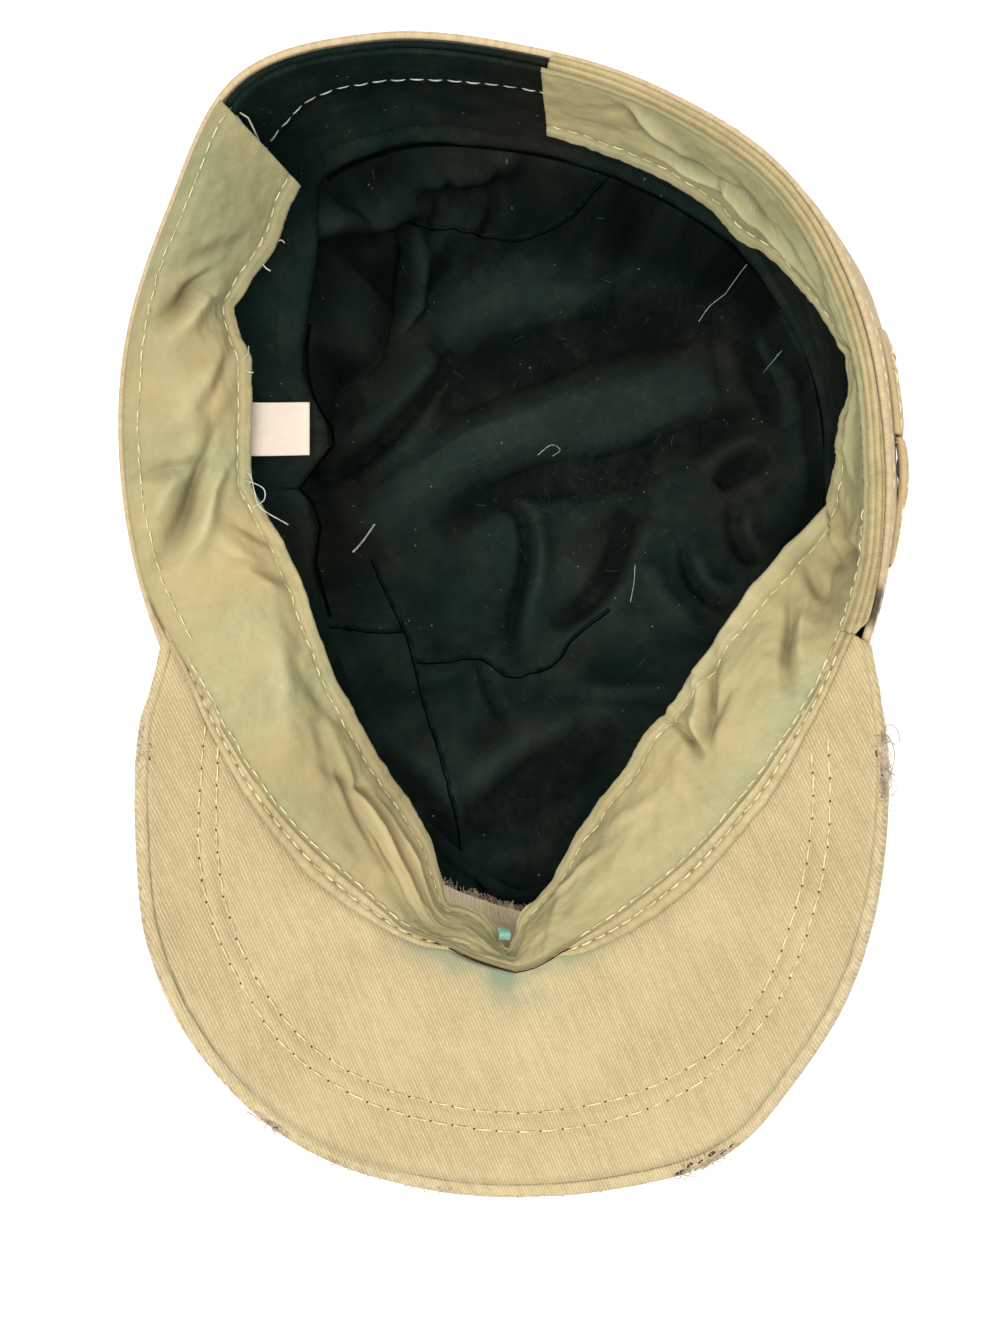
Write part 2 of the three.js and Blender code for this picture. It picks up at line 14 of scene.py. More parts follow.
import bpy
import numpy as np
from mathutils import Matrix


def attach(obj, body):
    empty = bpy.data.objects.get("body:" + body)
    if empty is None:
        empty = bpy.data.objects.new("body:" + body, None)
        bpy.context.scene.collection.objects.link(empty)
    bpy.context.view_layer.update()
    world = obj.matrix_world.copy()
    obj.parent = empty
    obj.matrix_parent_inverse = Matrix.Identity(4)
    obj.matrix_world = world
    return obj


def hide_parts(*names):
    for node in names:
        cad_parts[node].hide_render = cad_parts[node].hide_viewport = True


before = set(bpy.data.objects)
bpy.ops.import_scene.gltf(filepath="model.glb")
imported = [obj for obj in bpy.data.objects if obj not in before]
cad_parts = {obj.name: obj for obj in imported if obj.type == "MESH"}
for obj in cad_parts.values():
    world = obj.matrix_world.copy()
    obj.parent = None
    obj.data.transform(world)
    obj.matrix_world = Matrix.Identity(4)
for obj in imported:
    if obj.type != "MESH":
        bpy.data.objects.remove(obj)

LOG = logging.getLogger("canvas_cap")
MM = 0.001
BODY = "root"

Array = np.ndarray
Surface = Callable[[Array, Array], Array]
Amount = Union[float, Callable[[Array, Array], Array]]
Places = Union[float, Array]


# Tables.


@dataclass(frozen=True)
class Station:
    """One station of the rim, in millimetres.

    x, y: outer edge of the rim. band_in: how far the hat band's lower seam lies
    inside the rim. bulge: how far the crown panel swells outward.
    inward, drop, knee: where the lining band's lower edge lies and how it turns.
    """

    x: float
    y: float
    band_in: float
    bulge: float
    inward: float
    drop: float
    knee: float


RIM = tuple(Station(*row) for row in (
    (-15.2, -132.2, 0, 4, 18, 33, -1), (20.1, -116.6, 1, 4, 17, 33, -1), (45.6, -91.9, 1, 4, 17, 34,
    -0.9), (60.6, -64.6, -2, 3, 14, 36, -0.8), (67.9, -39.8, -5, 3, 8, 38, -0.7), (68.3, -9.8, -6.5, 3,
    5, 38, -0.6), (61.7, 20.9, -8, 4, 5, 38, -0.5), (44.9, 48.6, -5, 4, 8, 38, -0.4), (17.2, 66.7, -2,
    4, 9, 38, -0.3), (-13.1, 76.2, -1, 4, 10, 38, -0.3), (-45.2, 79.2, 1, 5, 13, 37, -0.3), (-75.7,
    70.8, 3, 6, 21, 34, -0.4), (-92.1, 42.6, 5, 6, 31, 28, -0.4), (-102.7, 12.3, 6, 6, 37, 21, -0.1),
    (-103.9, -20.2, 6, 6, 37, 21, -0.1), (-96.9, -52.4, 5, 6, 36, 24, -0.2), (-81.2, -85.2, 4, 5, 32,
    30, -0.5), (-52.9, -113.9, 2, 4, 24, 33, -0.9),
))
STATION_LENGTH = 33.0
STATIONS = len(RIM)


@dataclass(frozen=True)
class BandRow:
    """One section of the sweatband: its free edge from the rim, and how it turns."""

    at: float
    inward: float
    drop: float
    knee: float


SWEATBAND_ROWS = tuple(BandRow(*row) for row in (
    (11.3, 22, 13, 0.2), (11.9, 22.5, 12, 0.2), (12.15, 20, 12, 0.2), (12.4, 18.5, 11, 0.2), (12.8,
    26.5, 9, 0.3), (13.25, 28.5, 8, 0.4), (13.95, 27.5, 8, 0.4), (14.5, 33.5, 6, 0.4), (14.9, 35.5, 6,
    0.4), (15.6, 33.5, 8, 0.4), (16.4, 30, 13, 0.3), (16.85, 25.5, 18, 0.2), (17.15, 20.5, 16, 0.1),
    (17.3, 15.2, 14, 0.1), (17.4, 10.1, 12, 0.15), (17.48, 8.6, 11, 0.2), (17.62, 10.5, 10, 0.2),
    (17.72, 10.1, 9.5, 0.2), (17.82, 7.4, 8.5, 0.2), (17.92, 4.8, 6, 0.2), (17.98, 4.6, 5, 0.2), (18.04,
    6.0, 6, 0.2), (18.1, 10.2, 8.5, 0.2), (18.16, 13.8, 9.5, 0.2), (18.35, 15.9, 11, 0.2), (18.55, 18.6,
    12.5, 0.2), (18.83, 24.9, 14, 0.2), (19.15, 29, 13, 0.3), (19.85, 33, 9, 0.4), (20.6, 32.5, 9, 0.3),
    (21.05, 31, 10, 0.2), (21.8, 27, 14, -0.3), (22.3, 20, 20, -0.7), (22.7, 9, 22, -0.6), (23.2, 6.2,
    16, -0.4), (23.45, 4.4, 12, -0.1), (23.7, 3.8, 8, 0), (24.2, 5.8, 12, 0), (24.6, 8.4, 16, 0), (25.0,
    11.6, 18, 0.1), (25.5, 10.2, 18, 0), (26.0, 11.2, 18, 0), (26.68, 11.1, 18, 0),
))

PEAK_OUTLINE = np.array([
        (-95.4, -48.6), (-96.4, -55), (-98.3, -64), (-100.7, -74), (-101, -96), (-97.9, -123),
        (-86.4, -148), (-64.8, -169.5), (-35.4, -180.5), (-5.8, -181.8),
        (21, -176), (35.6, -167.8), (47, -153.4), (58.8, -133),
        (65.7, -109.7), (68.3, -83.4), (67.3, -66), (65.6, -53.2),
])

# The two stitch rows of the peak, seen from above.
OUTER_ROW = (
    (-86.6, -71), (-88, -91), (-87.6, -104), (-85, -117), (-79.5, -130), (-69.5, -145.5),
    (-55, -157), (-36, -164.3), (-14, -167.2), (8, -163.8), (26, -155.4), (38.5, -144),
    (48, -129), (54.5, -109), (57.1, -90), (56.3, -68.4),
)
INNER_ROW = (
    (-83.6, -75), (-84.2, -90), (-83.6, -104), (-81, -117), (-75.5, -130), (-66, -143.4),
    (-52.5, -153.6), (-34.5, -160.3), (-14, -162.9), (7, -159.6), (24, -151.8), (35.5, -142),
    (44.5, -127.6), (50.8, -108.5), (53.5, -90), (53, -74),
)


@dataclass(frozen=True)
class Fold:
    """A ridge or valley: middle, run in degrees, half length, half width, height."""

    x: float
    y: float
    turn: float
    half: float
    width: float
    height: float

    def height_at(self, x: Array, y: Array) -> Array:
        """Height of this fold over a point of the plane that it lies in."""
        turn = math.radians(self.turn)
        run, rise = math.cos(turn), math.sin(turn)
        along = ((x - self.x) * run + (y - self.y) * rise) / self.half
        across = ((y - self.y) * run - (x - self.x) * rise) / self.width
        return self.height * np.exp(-along**2 - across**2)


@dataclass(frozen=True)
class Crease:
    """A sharper fold of the lining, seen from above.

    path: its run. width, depth: of its valley, or of a ridge where the depth is
    negative. lip, lip_width: of the ridge that rises along the path's left side.
    """

    path: tuple[tuple[float, float], ...]
    width: float
    depth: float
    lip: float = 0.0
    lip_width: float = 3.0

    def height_at(self, x: Array, y: Array) -> Array:
        """Height that this crease adds over a point."""
        line = smooth_line([(at, along, 0) for at, along in self.path], 5)[:, :2]
        run = np.diff(line, axis=0)
        nearest = np.full(x.shape, np.inf)
        side, place = np.zeros(x.shape), np.zeros(x.shape)
        for k, (start, step) in enumerate(zip(line[:-1], run)):
            away_x, away_y = x - start[0], y - start[1]
            share = np.clip((away_x * step[0] + away_y * step[1]) / (step @ step), 0, 1)
            dx, dy = away_x - share * step[0], away_y - share * step[1]
            far = np.hypot(dx, dy)
            closer = far < nearest
            nearest = np.where(closer, far, nearest)
            side = np.where(closer, np.sign(step[0] * dy - step[1] * dx), side)
            place = np.where(closer, (k + share) / len(run), place)
        taper = np.sqrt(np.maximum(np.sin(np.pi * place), 0))
        signed = nearest * side
        valley = -self.depth * np.exp(-((signed / self.width) ** 2))
        ridge_at = self.width + 0.6 * self.lip_width
        ridge = self.lip * np.exp(-(((signed - ridge_at) / self.lip_width) ** 2))
        return (valley + ridge) * taper


LINING_CREASES = tuple(Crease(*row) for row in (
    (((-55, -24), (-38, -6), (-15, 7), (12, 15), (40, 20)), 8.5, -8), (((-56, -10), (-44, 2), (-31, 12),
    (-2, 25), (29, 34), (54, 40)), 8, 6), (((-36, -22), (-23, -13), (-7, -8), (8, -6), (19, -3), (32,
    3), (50, 10)), 5, 6, 3, 5), (((10, -6), (22, -1), (34, 4), (48, 10)), 1.2, 2.2), (((-17, -14), (-12,
    -19), (-11, -30), (-14, -43), (-15, -55)), 1.8, 4, 2, 3), (((-9, -20), (-7, -31), (-9, -42)), 3.5,
    -3.5), (((17, -17), (13, -30), (6, -41), (-4, -48)), 3, 4.5, 2.2, 4), (((-31, 26), (-34, 20), (-40,
    12), (-48, 3), (-56, -4), (-63, -8), (-68, -9)), 1.5, 4.5, 0), (((-30, 20), (-37, 9), (-46, -1),
    (-56, -8)), 3, -3.5), (((-34, 25), (-44, 14), (-55, 4), (-64, 0)), 5, -5), (((-42, 55), (-44, 48),
    (-45, 40), (-49, 30)), 1.6, 3, 3, 3), (((-66, 28), (-64, 37), (-59, 45), (-47, 52), (-36, 58)), 1.4,
    2.5, 2.5, 3), (((-52, 40), (-56, 30), (-57, 20), (-52, 12)), 4, -4), (((-35, 30), (-25, 38), (-8,
    42), (12, 40)), 7, -4), (((-40, 60), (-28, 61), (-12, 64)), 1.5, 2.5, 1.5, 2.5), (((-38, 52), (-34,
    58), (-30, 64)), 1.3, 2), (((-24, 54), (-20, 60), (-18, 66)), 1.3, 1.6), (((-40, -64), (-31, -63),
    (-26, -59)), 1.0, 1.4, 1.2, 2), (((-24, -56), (-21, -66), (-16, -74)), 1.3, 2.5, 1, 2), (((-3, -67),
    (14, -68), (28, -69)), 1.2, 1.6, 1.2, 2.5), (((-32, -104), (-14, -90), (-2, -82), (20, -72)), 5, 3,
    2, 5), (((-29, -92), (-12, -80), (2, -74)), 4, -2.5), (((30, -24), (33, -35), (38, -41), (45, -43)),
    1.6, 3, 2.5, 3), (((22, -30), (26, -40), (34, -50)), 3.5, -3), (((40, -10), (46, -5), (54, -2)),
    3.5, 4, 2, 3), (((44, -14), (45, -24), (50, -32)), 2, 3, 2, 3), (((46, 30), (52, 18), (56, 6)), 3,
    3, 2, 3), (((-52, -80), (-41, -88), (-35, -95), (-32, -104), (-30, -112)), 2.5, 2.5, 1.5, 3),
))

# Sewn seams of the lining that show, seen from above.
LINING_SEAMS = (
    ((-52, -30), (-48, -39), (-43, -49), (-40, -59), (-37, -70), (-33, -82), (-30, -93),
     (-28.5, -101), (-27, -108), (-22, -115)),
    ((-64, -48), (-58, -48.5), (-50, -49.5), (-43, -49)),
    ((-40, -57), (-32, -57), (-24, -56), (-19, -59), (-15, -61), (-7, -59), (-2, -56),
     (1, -51), (6, -47), (11, -43)),
    ((-41, 53), (-26, 53), (-10, 53), (3, 57), (13, 61)),
)

# The outer walls' dents: x is the station, y how far down the panel.
WALL_DENTS = (
    (1.9, 0.5, 0.8, 0.5, 2.0),
    (8.6, 0.55, 0.9, 0.35, 3.0),
    (11.6, 0.45, 0.7, 0.35, 3.0),
    (14.2, 0.5, 0.9, 0.3, 3.5),
    (16.6, 0.6, 0.6, 0.35, 2.5),
)

# The free edge of the sweatband lags behind its seam where the flap stands up:
# station, and stations of lag.
SWEATBAND_SLIP = (
    (11.2, 0.12), (12.0, 0), (20.7, 0), (21.2, 0.15), (21.7, 0.42), (22.05, 0.66), (22.25, 0.72),
    (22.6, 0.45),
    (23.0, 0.18), (23.4, 0), (26.2, 0), (26.84, -0.13),
)

# Where the sweatband's outer fold lies inward of the rim: station, millimetres.
FRONT_FOLD = (
    (11, 1.2), (12.5, 1.1), (13.4, 1.2), (14.0, 1.1), (14.6, 1.2), (14.95, 2.9), (15.4, 5.3),
    (15.8, 5.4), (16.3, 4.4), (16.9, 3.7), (17.3, 2.0), (17.57, 3.8), (17.91, 3.1), (18.02, 2.5),
    (18.16, 3.2), (18.36, 5.0), (18.75, 5.6), (19.1, 6.7), (19.5, 7.3), (19.9, 7.7),
    (20.4, 7.6), (21.1, 6.0), (21.64, 5.6), (22.2, 4.8), (23.0, 4.9), (23.5, 4.5), (27, 4.2),
)

# Where the seam tape's outer edge lies inward of the rim: station, millimetres.
TAPE_EDGE = (
    (15.0, 4.2), (15.58, 3.0), (15.85, 2.4), (16.17, 1.2), (16.43, 0.1), (16.7, -1.1),
    (17.0, -1.1), (17.3, -0.1), (17.45, 1.0), (17.6, 4.4), (17.9, 4.4), (18.3, 4.8),
    (18.45, 2.4), (18.66, 1.4), (18.85, 1.0), (19.25, 1.6), (19.73, 3.0), (20.14, 3.4),
    (20.55, 4.3), (20.93, 4.2), (21.39, 4.6), (21.8, 2.4),
)

# How far the upper strip's lower edge waves inward: stations and millimetres.
BAND_EDGE_WAVE = (
    (0, 0), (12.4, 0), (12.7, 1), (13.0, 3), (13.3, 7), (13.5, 7.5), (13.8, 2), (13.93, -1),
    (14.08, 2), (14.35, 3), (14.7, 0), (18, 0),
)

# Creases of the sweatband: x is the station and y the way from rim to free edge.
SWEATBAND_CREASES = tuple(Fold(*row) for row in (
    (14.06, 0.31, -30, 0.44, 0.05, -3.2), (14.13, 0.47, -36, 0.42, 0.06, 2.2), (13.95, 0.20, -30, 0.30,
    0.05, 1.3), (13.79, 0.26, 104, 0.24, 0.05, -1.7), (12.49, 0.33, -41, 0.28, 0.05, -2.6), (12.55,
    0.48, -45, 0.32, 0.07, 2.0), (12.42, 0.67, -57, 0.40, 0.09, 1.3), (12.10, 0.45, -50, 0.30, 0.08,
    -1.0), (13.10, 0.50, -35, 0.40, 0.10, 1.3), (13.35, 0.35, 20, 0.40, 0.12, 0.9), (12.95, 0.72, -30,
    0.35, 0.06, -1.0), (14.77, 0.77, 55, 0.28, 0.05, -1.5), (14.62, 0.60, 30, 0.34, 0.10, 1.3), (14.45,
    0.85, 50, 0.22, 0.05, -1.0), (15.55, 0.45, 160, 0.45, 0.12, 1.2), (15.90, 0.78, 20, 0.40, 0.08,
    -0.9), (16.15, 0.55, 150, 0.35, 0.09, -0.9), (16.53, 0.60, 37, 0.20, 0.05, -1.4), (16.64, 0.43, -24,
    0.32, 0.04, -1.4), (16.76, 0.50, -22, 0.34, 0.04, 1.2), (16.84, 0.42, -20, 0.36, 0.03, -1.2),
    (16.90, 0.50, -18, 0.34, 0.03, 1.4), (16.96, 0.60, -15, 0.33, 0.03, -1.4), (17.02, 0.70, -8, 0.30,
    0.03, 1.3), (17.09, 0.80, 2, 0.26, 0.03, -1.2), (18.68, 0.69, -24, 0.25, 0.06, 1.0), (18.45, 0.50,
    70, 0.40, 0.06, 0.8), (19.30, 0.60, -30, 0.40, 0.10, 0.9), (20.51, 0.68, 38, 0.43, 0.045, -2.4),
    (20.40, 0.76, 38, 0.40, 0.05, 1.2), (21.23, 0.45, 41, 0.46, 0.045, -2.4), (21.34, 0.38, 41, 0.40,
    0.05, 1.2), (20.07, 0.54, 65, 0.17, 0.045, -2.2), (20.11, 0.76, 80, 0.25, 0.035, -1.6), (20.41,
    0.51, 15, 0.27, 0.05, -1.3), (20.20, 0.62, 60, 0.25, 0.05, 1.2), (22.16, 0.39, 92, 0.42, 0.05,
    -2.4), (22.09, 0.69, 111, 0.35, 0.05, 1.8), (21.98, 0.55, 105, 0.35, 0.05, -1.5), (21.77, 0.70, 69,
    0.22, 0.06, -1.5), (26.04, 0.34, 128, 0.22, 0.05, -2.4), (25.79, 0.49, 178, 0.20, 0.05, -2.4),
    (25.48, 0.46, 13, 0.24, 0.05, -2.6), (25.95, 0.22, 150, 0.28, 0.06, 1.8), (25.58, 0.64, 12, 0.30,
    0.06, 2.0), (25.20, 0.51, 154, 0.28, 0.05, 2.0), (25.02, 0.40, 154, 0.26, 0.05, -1.8), (24.75, 0.56,
    4, 0.26, 0.06, 1.4), (24.45, 0.45, 165, 0.30, 0.06, -1.2), (23.13, 0.36, 158, 0.45, 0.07, 1.2),
    (22.43, 0.20, 20, 0.30, 0.05, -1.8), (23.75, 0.50, 90, 0.40, 0.05, -1.6),
))


# Form.


def bell(x: Array, width: float, power: int = 2) -> Array:
    """A smooth bump that is 1 where x is 0 and fades within its width."""
    return np.exp(-(x / width) ** power)


def unit(vectors: Array) -> Array:
    """The same directions with a length of 1."""
    return vectors / np.maximum(np.linalg.norm(vectors, axis=-1, keepdims=True), 1e-9)


def clamped(x: Array) -> Array:
    """A value held between 0 and 1."""
    return np.clip(x, 0, 1)


def inside(x: Array, low: float, high: float, soft: float) -> Array:
    """1 between low and high, and 0 outside, with soft ends."""
    return np.clip(np.minimum(x - low, high - x) / soft, 0, 1)


def lookup(rows: Sequence[tuple[float, float]], s: Array) -> Array:
    """Reads a table of places and values."""
    return np.interp(s, *np.transpose(rows))


def spline(rows: Array, first: Array, t: Array) -> Array:
    """A smooth curve through rows.

    Args:
        rows: The points, read as a closed loop.
        first: The row that each place follows.
        t: How far each place is from there to the next row.
    Returns:
        The curve's points.
    """
    before, here, after, beyond = (rows[(first + k) % len(rows)] for k in (-1, 0, 1, 2))
    return 0.5 * (2 * here + (after - before) * t + (2 * before - 5 * here + 4 * after - beyond) * t**2
        + (3 * here - before - 3 * after + beyond) * t**3)


def periodic(values: Array, s: Array) -> Array:
    """Reads a closed table smoothly at places given in stations."""
    first = np.floor(s).astype(int)
    return spline(values, first, (s - first)[..., None])


def smooth_line(points: Sequence[Sequence[float]], steps: int = 12, count: int = 0) -> Array:
    """A smooth line through a few points, with so many steps between two or in all."""
    rows = np.array(points, dtype=float)
    rows = np.vstack([2 * rows[0] - rows[1], rows, 2 * rows[-1] - rows[-2]])
    places = np.linspace(1, len(rows) - 2 - 1e-9, count or steps * (len(rows) - 3) + 1)
    first = np.floor(places).astype(int)
    return spline(rows, first, (places - first)[:, None])


def reach_along(line: Array) -> Array:
    """How far each point is along a line."""
    hops = np.linalg.norm(np.diff(line, axis=0), axis=1)
    return np.concatenate([[0.0], np.cumsum(hops)])


def section(start: Array, end: Array, knee: Array, t: Array) -> Array:
    """A strip's cross-section from start to end that turns at its knee.

    Args:
        start: Points where the strip is sewn on.
        end: Points of its free edge.
        knee: -1 drops first and then runs inward, 1 runs inward first.
        t: Place on the section.
    Returns:
        The points, in millimetres.
    """
    lean = np.stack([(1 + knee) / 2, (1 + knee) / 2, (1 - knee) / 2], axis=-1)
    turn = start + (end - start) * lean
    t = t[..., None]
    return (1 - t) ** 3 * start + 3 * t * (1 - t) * turn + t**3 * end


@dataclass
class CapForm:
    """The cap's surfaces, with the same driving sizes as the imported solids."""

    rim_height: float = 86.8
    rim_pitch: float = 0.185
    rim_roll: float = 0.05
    rim_centre: tuple[float, float] = (-17.0, -27.0)
    crown_half: tuple[float, float] = (72.0, 60.0)
    crown_edge: float = 6.0
    canvas: float = 1.5
    lining: float = 1.0
    gap: float = 0.3
    band_height: float = 30.0
    band_proud: float = 0.6
    lining_half: tuple[float, float] = (66.0, 53.0)
    lining_floor: float = 3.6
    lining_edge: float = 8.0
    peak_from: float = 14.93
    peak_to: float = 21.55
    peak_rise: float = 0.27
    peak_arch: float = 0.2

    def __post_init__(self) -> None:
        """Lays the tables out as arrays."""
        self.rim_table = np.array([(r.x, r.y) for r in RIM])
        self.wall_table = np.array([(r.band_in, r.bulge) for r in RIM])
        self.lining_table = np.array([(r.inward, r.drop, r.knee) for r in RIM])
        self.outline = smooth_line(PEAK_OUTLINE, count=900)
        self.outline_length = reach_along(self.outline)
        self.outline_length /= self.outline_length[-1]

    def plane(self, x: Array, y: Array) -> Array:
        """Height of the rim plane over a point."""
        return self.rim_height + self.rim_pitch * y + self.rim_roll * x

    def rim(self, s: Array) -> Array:
        """The rim's outer edge."""
        flat = periodic(self.rim_table, s)
        x, y = flat[..., 0], flat[..., 1]
        return np.stack([x, y, self.plane(x, y)], axis=-1)

    def inward(self, s: Array) -> Array:
        """The level direction from the rim into the mouth."""
        along = periodic(self.rim_table, s + 0.25) - periodic(self.rim_table, s - 0.25)
        length = np.hypot(along[..., 0], along[..., 1])
        return np.stack([-along[..., 1] / length, along[..., 0] / length, 0 * length], axis=-1)

    def from_rim(self, s: Array, inward: Amount, drop: Amount) -> Array:
        """The point that lies so far inward of the rim and so far below it."""
        rim = self.rim(s)
        point = rim + self.inward(s) * np.broadcast_to(inward, s.shape)[..., None]
        point[..., 2] = rim[..., 2] - drop
        return point

    def oval(self, s: Array, half: tuple[float, float], inset: Amount = 0.0) -> Array:
        """The point of an oval round the crown's centre that faces a station."""
        rim = self.rim(s)
        angle = np.arctan2(rim[..., 1] - self.rim_centre[1], rim[..., 0] - self.rim_centre[0])
        return np.stack([(half[0] - inset) * np.cos(angle), (half[1] - inset) * np.sin(angle), 0 * angle],
            axis=-1)

    def band(self, s: Array, t: Array) -> Array:
        """The hat band's outer side."""
        band_in = periodic(self.wall_table, s)[..., 0]
        drop = np.sqrt(self.band_height**2 - band_in**2)
        return self.from_rim(s, band_in * t * (2 - t), self.gap + (drop - self.gap) * t)

    def panel(self, s: Array, t: Array) -> Array:
        """The crown's wall, from the hat band's lower seam to the crown's edge."""
        band_in, bulge = np.moveaxis(periodic(self.wall_table, s), -1, 0)
        drop = np.sqrt(self.band_height**2 - band_in**2) + self.gap
        top = self.from_rim(s, band_in, drop)
        foot = self.oval(s, self.crown_half)
        foot[..., 2] = self.crown_edge + self.gap
        run = top - foot
        lean = np.hypot(run[..., 0], run[..., 1]) / np.linalg.norm(run, axis=-1)
        top[..., 2] -= self.canvas * lean
        point = top + (foot - top) * t[..., None]
        swell = bulge * np.sin(np.pi * t**0.8)
        half_round = STATIONS / 2
        for at, down, span_s, span_t, depth in WALL_DENTS:
            across = ((s - at + half_round) % STATIONS - half_round) / span_s
            swell -= depth * np.exp(-(across**2) - ((t - down) / span_t) ** 2) * np.sin(np.pi * t)
        return point - self.inward(s) * swell[..., None]

    def crown(self, s: Array, t: Array) -> Array:
        """The crown top: wall foot at 0, round the edge, then flat to the middle at 1."""
        bend = 0.25
        angle = np.pi / 2 * clamped(t / bend)
        inset = self.crown_edge * (1 - np.cos(angle))
        point = self.oval(s, self.crown_half, inset)
        reach = clamped(1 - (t - bend) / (1 - bend))
        point *= reach[..., None]
        point[..., 2] = self.crown_edge * (1 - np.sin(angle))
        return point

    def lining_band(self, s: Array, t: Array) -> Array:
        """The lining's upper strip."""
        inward, drop, knee = np.moveaxis(periodic(self.lining_table, s), -1, 0)
        wave = lookup(BAND_EDGE_WAVE, s % STATIONS)
        back = inside(s, 8.6, 11.3, 0.15)
        start = self.from_rim(s, self.canvas + self.gap + self.lining - back, 1.5 - 1.1 * back)
        return section(start, self.from_rim(s, inward + wave, drop), knee, t)

    def drape(self, s: Array, t: Array) -> Array:
        """The lining below its upper strip: down the wall at first, then over the crown."""
        inward, drop, _ = np.moveaxis(periodic(self.lining_table, s), -1, 0)
        wave = lookup(BAND_EDGE_WAVE, s % STATIONS)
        top = self.from_rim(s, inward + np.minimum(wave, 0) - 1.2, drop - 1.0)
        foot = self.oval(s, self.lining_half)
        foot[..., 2] = self.lining_edge
        bend, reach = 0.42, 0.07

        def bare(place: Array) -> Array:
            """The same way with a sharp turn at the crown's edge."""
            down = clamped(place / bend)[..., None]
            over = clamped(1 - (place - bend) / (1 - bend))[..., None]
            wall = top + (foot - top) * down
            floor = foot * over
            floor[..., 2] = (self.lining_floor
                + (self.lining_edge - self.lining_floor) * (over[..., 0] ** 3))
            return np.where(place[..., None] < bend, wall, floor)

        spread_out = reach * inside(t, 0, 1, 0.1)
        steps = (-1.0, -0.5, 0.0, 0.5, 1.0)
        return sum(bare(t + spread_out * step) for step in steps) / len(steps)

    def sweatband(self, s: Array, t: Array) -> Array:
        """The sweatband, flopped into the mouth or standing along the wall."""
        at = np.array([row.at for row in SWEATBAND_ROWS])
        taps = np.array([-0.04, -0.02, 0.0, 0.02, 0.04])
        weights = np.array([1.0, 2.0, 3.0, 2.0, 1.0]) / 9.0

        free = s + lookup(SWEATBAND_SLIP, s)

        def column(name: str) -> Array:
            """One column of the table, read with rounded corners."""
            values = np.array([getattr(row, name) for row in SWEATBAND_ROWS])
            return sum(w * np.interp(free + tap, at, values) for w, tap in zip(weights, taps))

        fold = lookup(FRONT_FOLD, s)
        over_tape = 1.2 * inside(s, 17.0, 18.7, 0.3)
        start = self.from_rim(s, fold, -1.4 - over_tape)
        end = self.from_rim(free, column("inward"), column("drop"))
        return section(start, end, column("knee"), t)

    def binding_reach(self, s: Array) -> tuple[Array, Array]:
        """Where the binding's outer and inner edges lie inward of the rim."""
        over_peak = inside(s, 15.0, 21.7, 0.25)
        tape = np.maximum(lookup(TAPE_EDGE, s) + 0.8, 1.2)
        return 1.2 + (tape - 1.2) * over_peak, lookup(FRONT_FOLD, s) + 0.9

    def binding(self, s: Array, t: Array) -> Array:
        """The sewn layers along the rim."""
        outer, inner = self.binding_reach(s)
        return self.from_rim(s, outer + (inner - outer) * t, 0.2)

    def peak(self, s: Array, t: Array) -> Array:
        """The peak's lower face, which looks up."""
        fraction = clamped((s - self.peak_from) / (self.peak_to - self.peak_from))
        root = self.from_rim(s, lookup(TAPE_EDGE, s) + 1.0, 0)
        outer = np.stack([np.interp(fraction, self.outline_length, self.outline[:, k]) for k in (0, 1)],
            axis=-1)
        flat = root[..., :2] + (outer - root[..., :2]) * t[..., None]
        reach = np.hypot(flat[..., 0] - root[..., 0], flat[..., 1] - root[..., 1])
        side = (flat[..., 0] - self.rim_centre[0]) / 85
        lift = reach * (self.peak_rise + self.peak_arch * side**2)
        height = self.plane(flat[..., 0], flat[..., 1]) - 0.4 + lift
        return np.stack([flat[..., 0], flat[..., 1], height], axis=-1)

    def tape(self, s: Array, t: Array) -> Array:
        """The tape over the seam at the peak's root, from its outer edge inward."""
        outer = lookup(TAPE_EDGE, s)
        inner = lookup(FRONT_FOLD, s) + 1.0
        hidden = inside(s, 17.4, 18.5, 0.1)
        point = self.from_rim(s, outer + (inner - outer) * t, -0.4 + 0.8 * hidden)
        point[..., 2] += 0.4 * np.sin(np.pi * t)
        return point


FORM = CapForm()


@dataclass
class Crumple:
    """Smooth random relief over a plane, the same on each run."""

    seed: int
    size: int = 64
    lattice: Array = field(init=False, repr=False)

    def __post_init__(self) -> None:
        """Draws the lattice."""
        self.lattice = np.random.RandomState(self.seed).uniform(-1, 1, (self.size, self.size))

    def at(self, u: Array, v: Array) -> Array:
        """One layer of relief, from -1 to 1, with features about one unit across."""
        i, j = np.floor(u).astype(int), np.floor(v).astype(int)
        a, b = u - i, v - j
        a, b = a**3 * (a * (a * 6 - 15) + 10), b**3 * (b * (b * 6 - 15) + 10)
        grid, n = self.lattice, self.size
        low = grid[i % n, j % n] * (1 - a) + grid[(i + 1) % n, j % n] * a
        high = grid[i % n, (j + 1) % n] * (1 - a) + grid[(i + 1) % n, (j + 1) % n] * a
        return low * (1 - b) + high * b

    def layered(self, u: Array, v: Array, layers: int = 3) -> Array:
        """Several layers, each half as high and half as wide as the last."""
        return sum(self.at(u * 2**k + 7 * k, v * 2**k + 3 * k) / 2**k for k in range(layers))

    def creased(self, u: Array, v: Array, layers: int = 2) -> Array:
        """Relief with sharp ridges, as in crumpled cloth, from about 0 to 1."""
        return sum((1 - np.abs(self.at(u * 2**k + 5 * k, v * 2**k)) * 2) / 2**k
            for k in range(layers)) / 1.5


# Meshes.


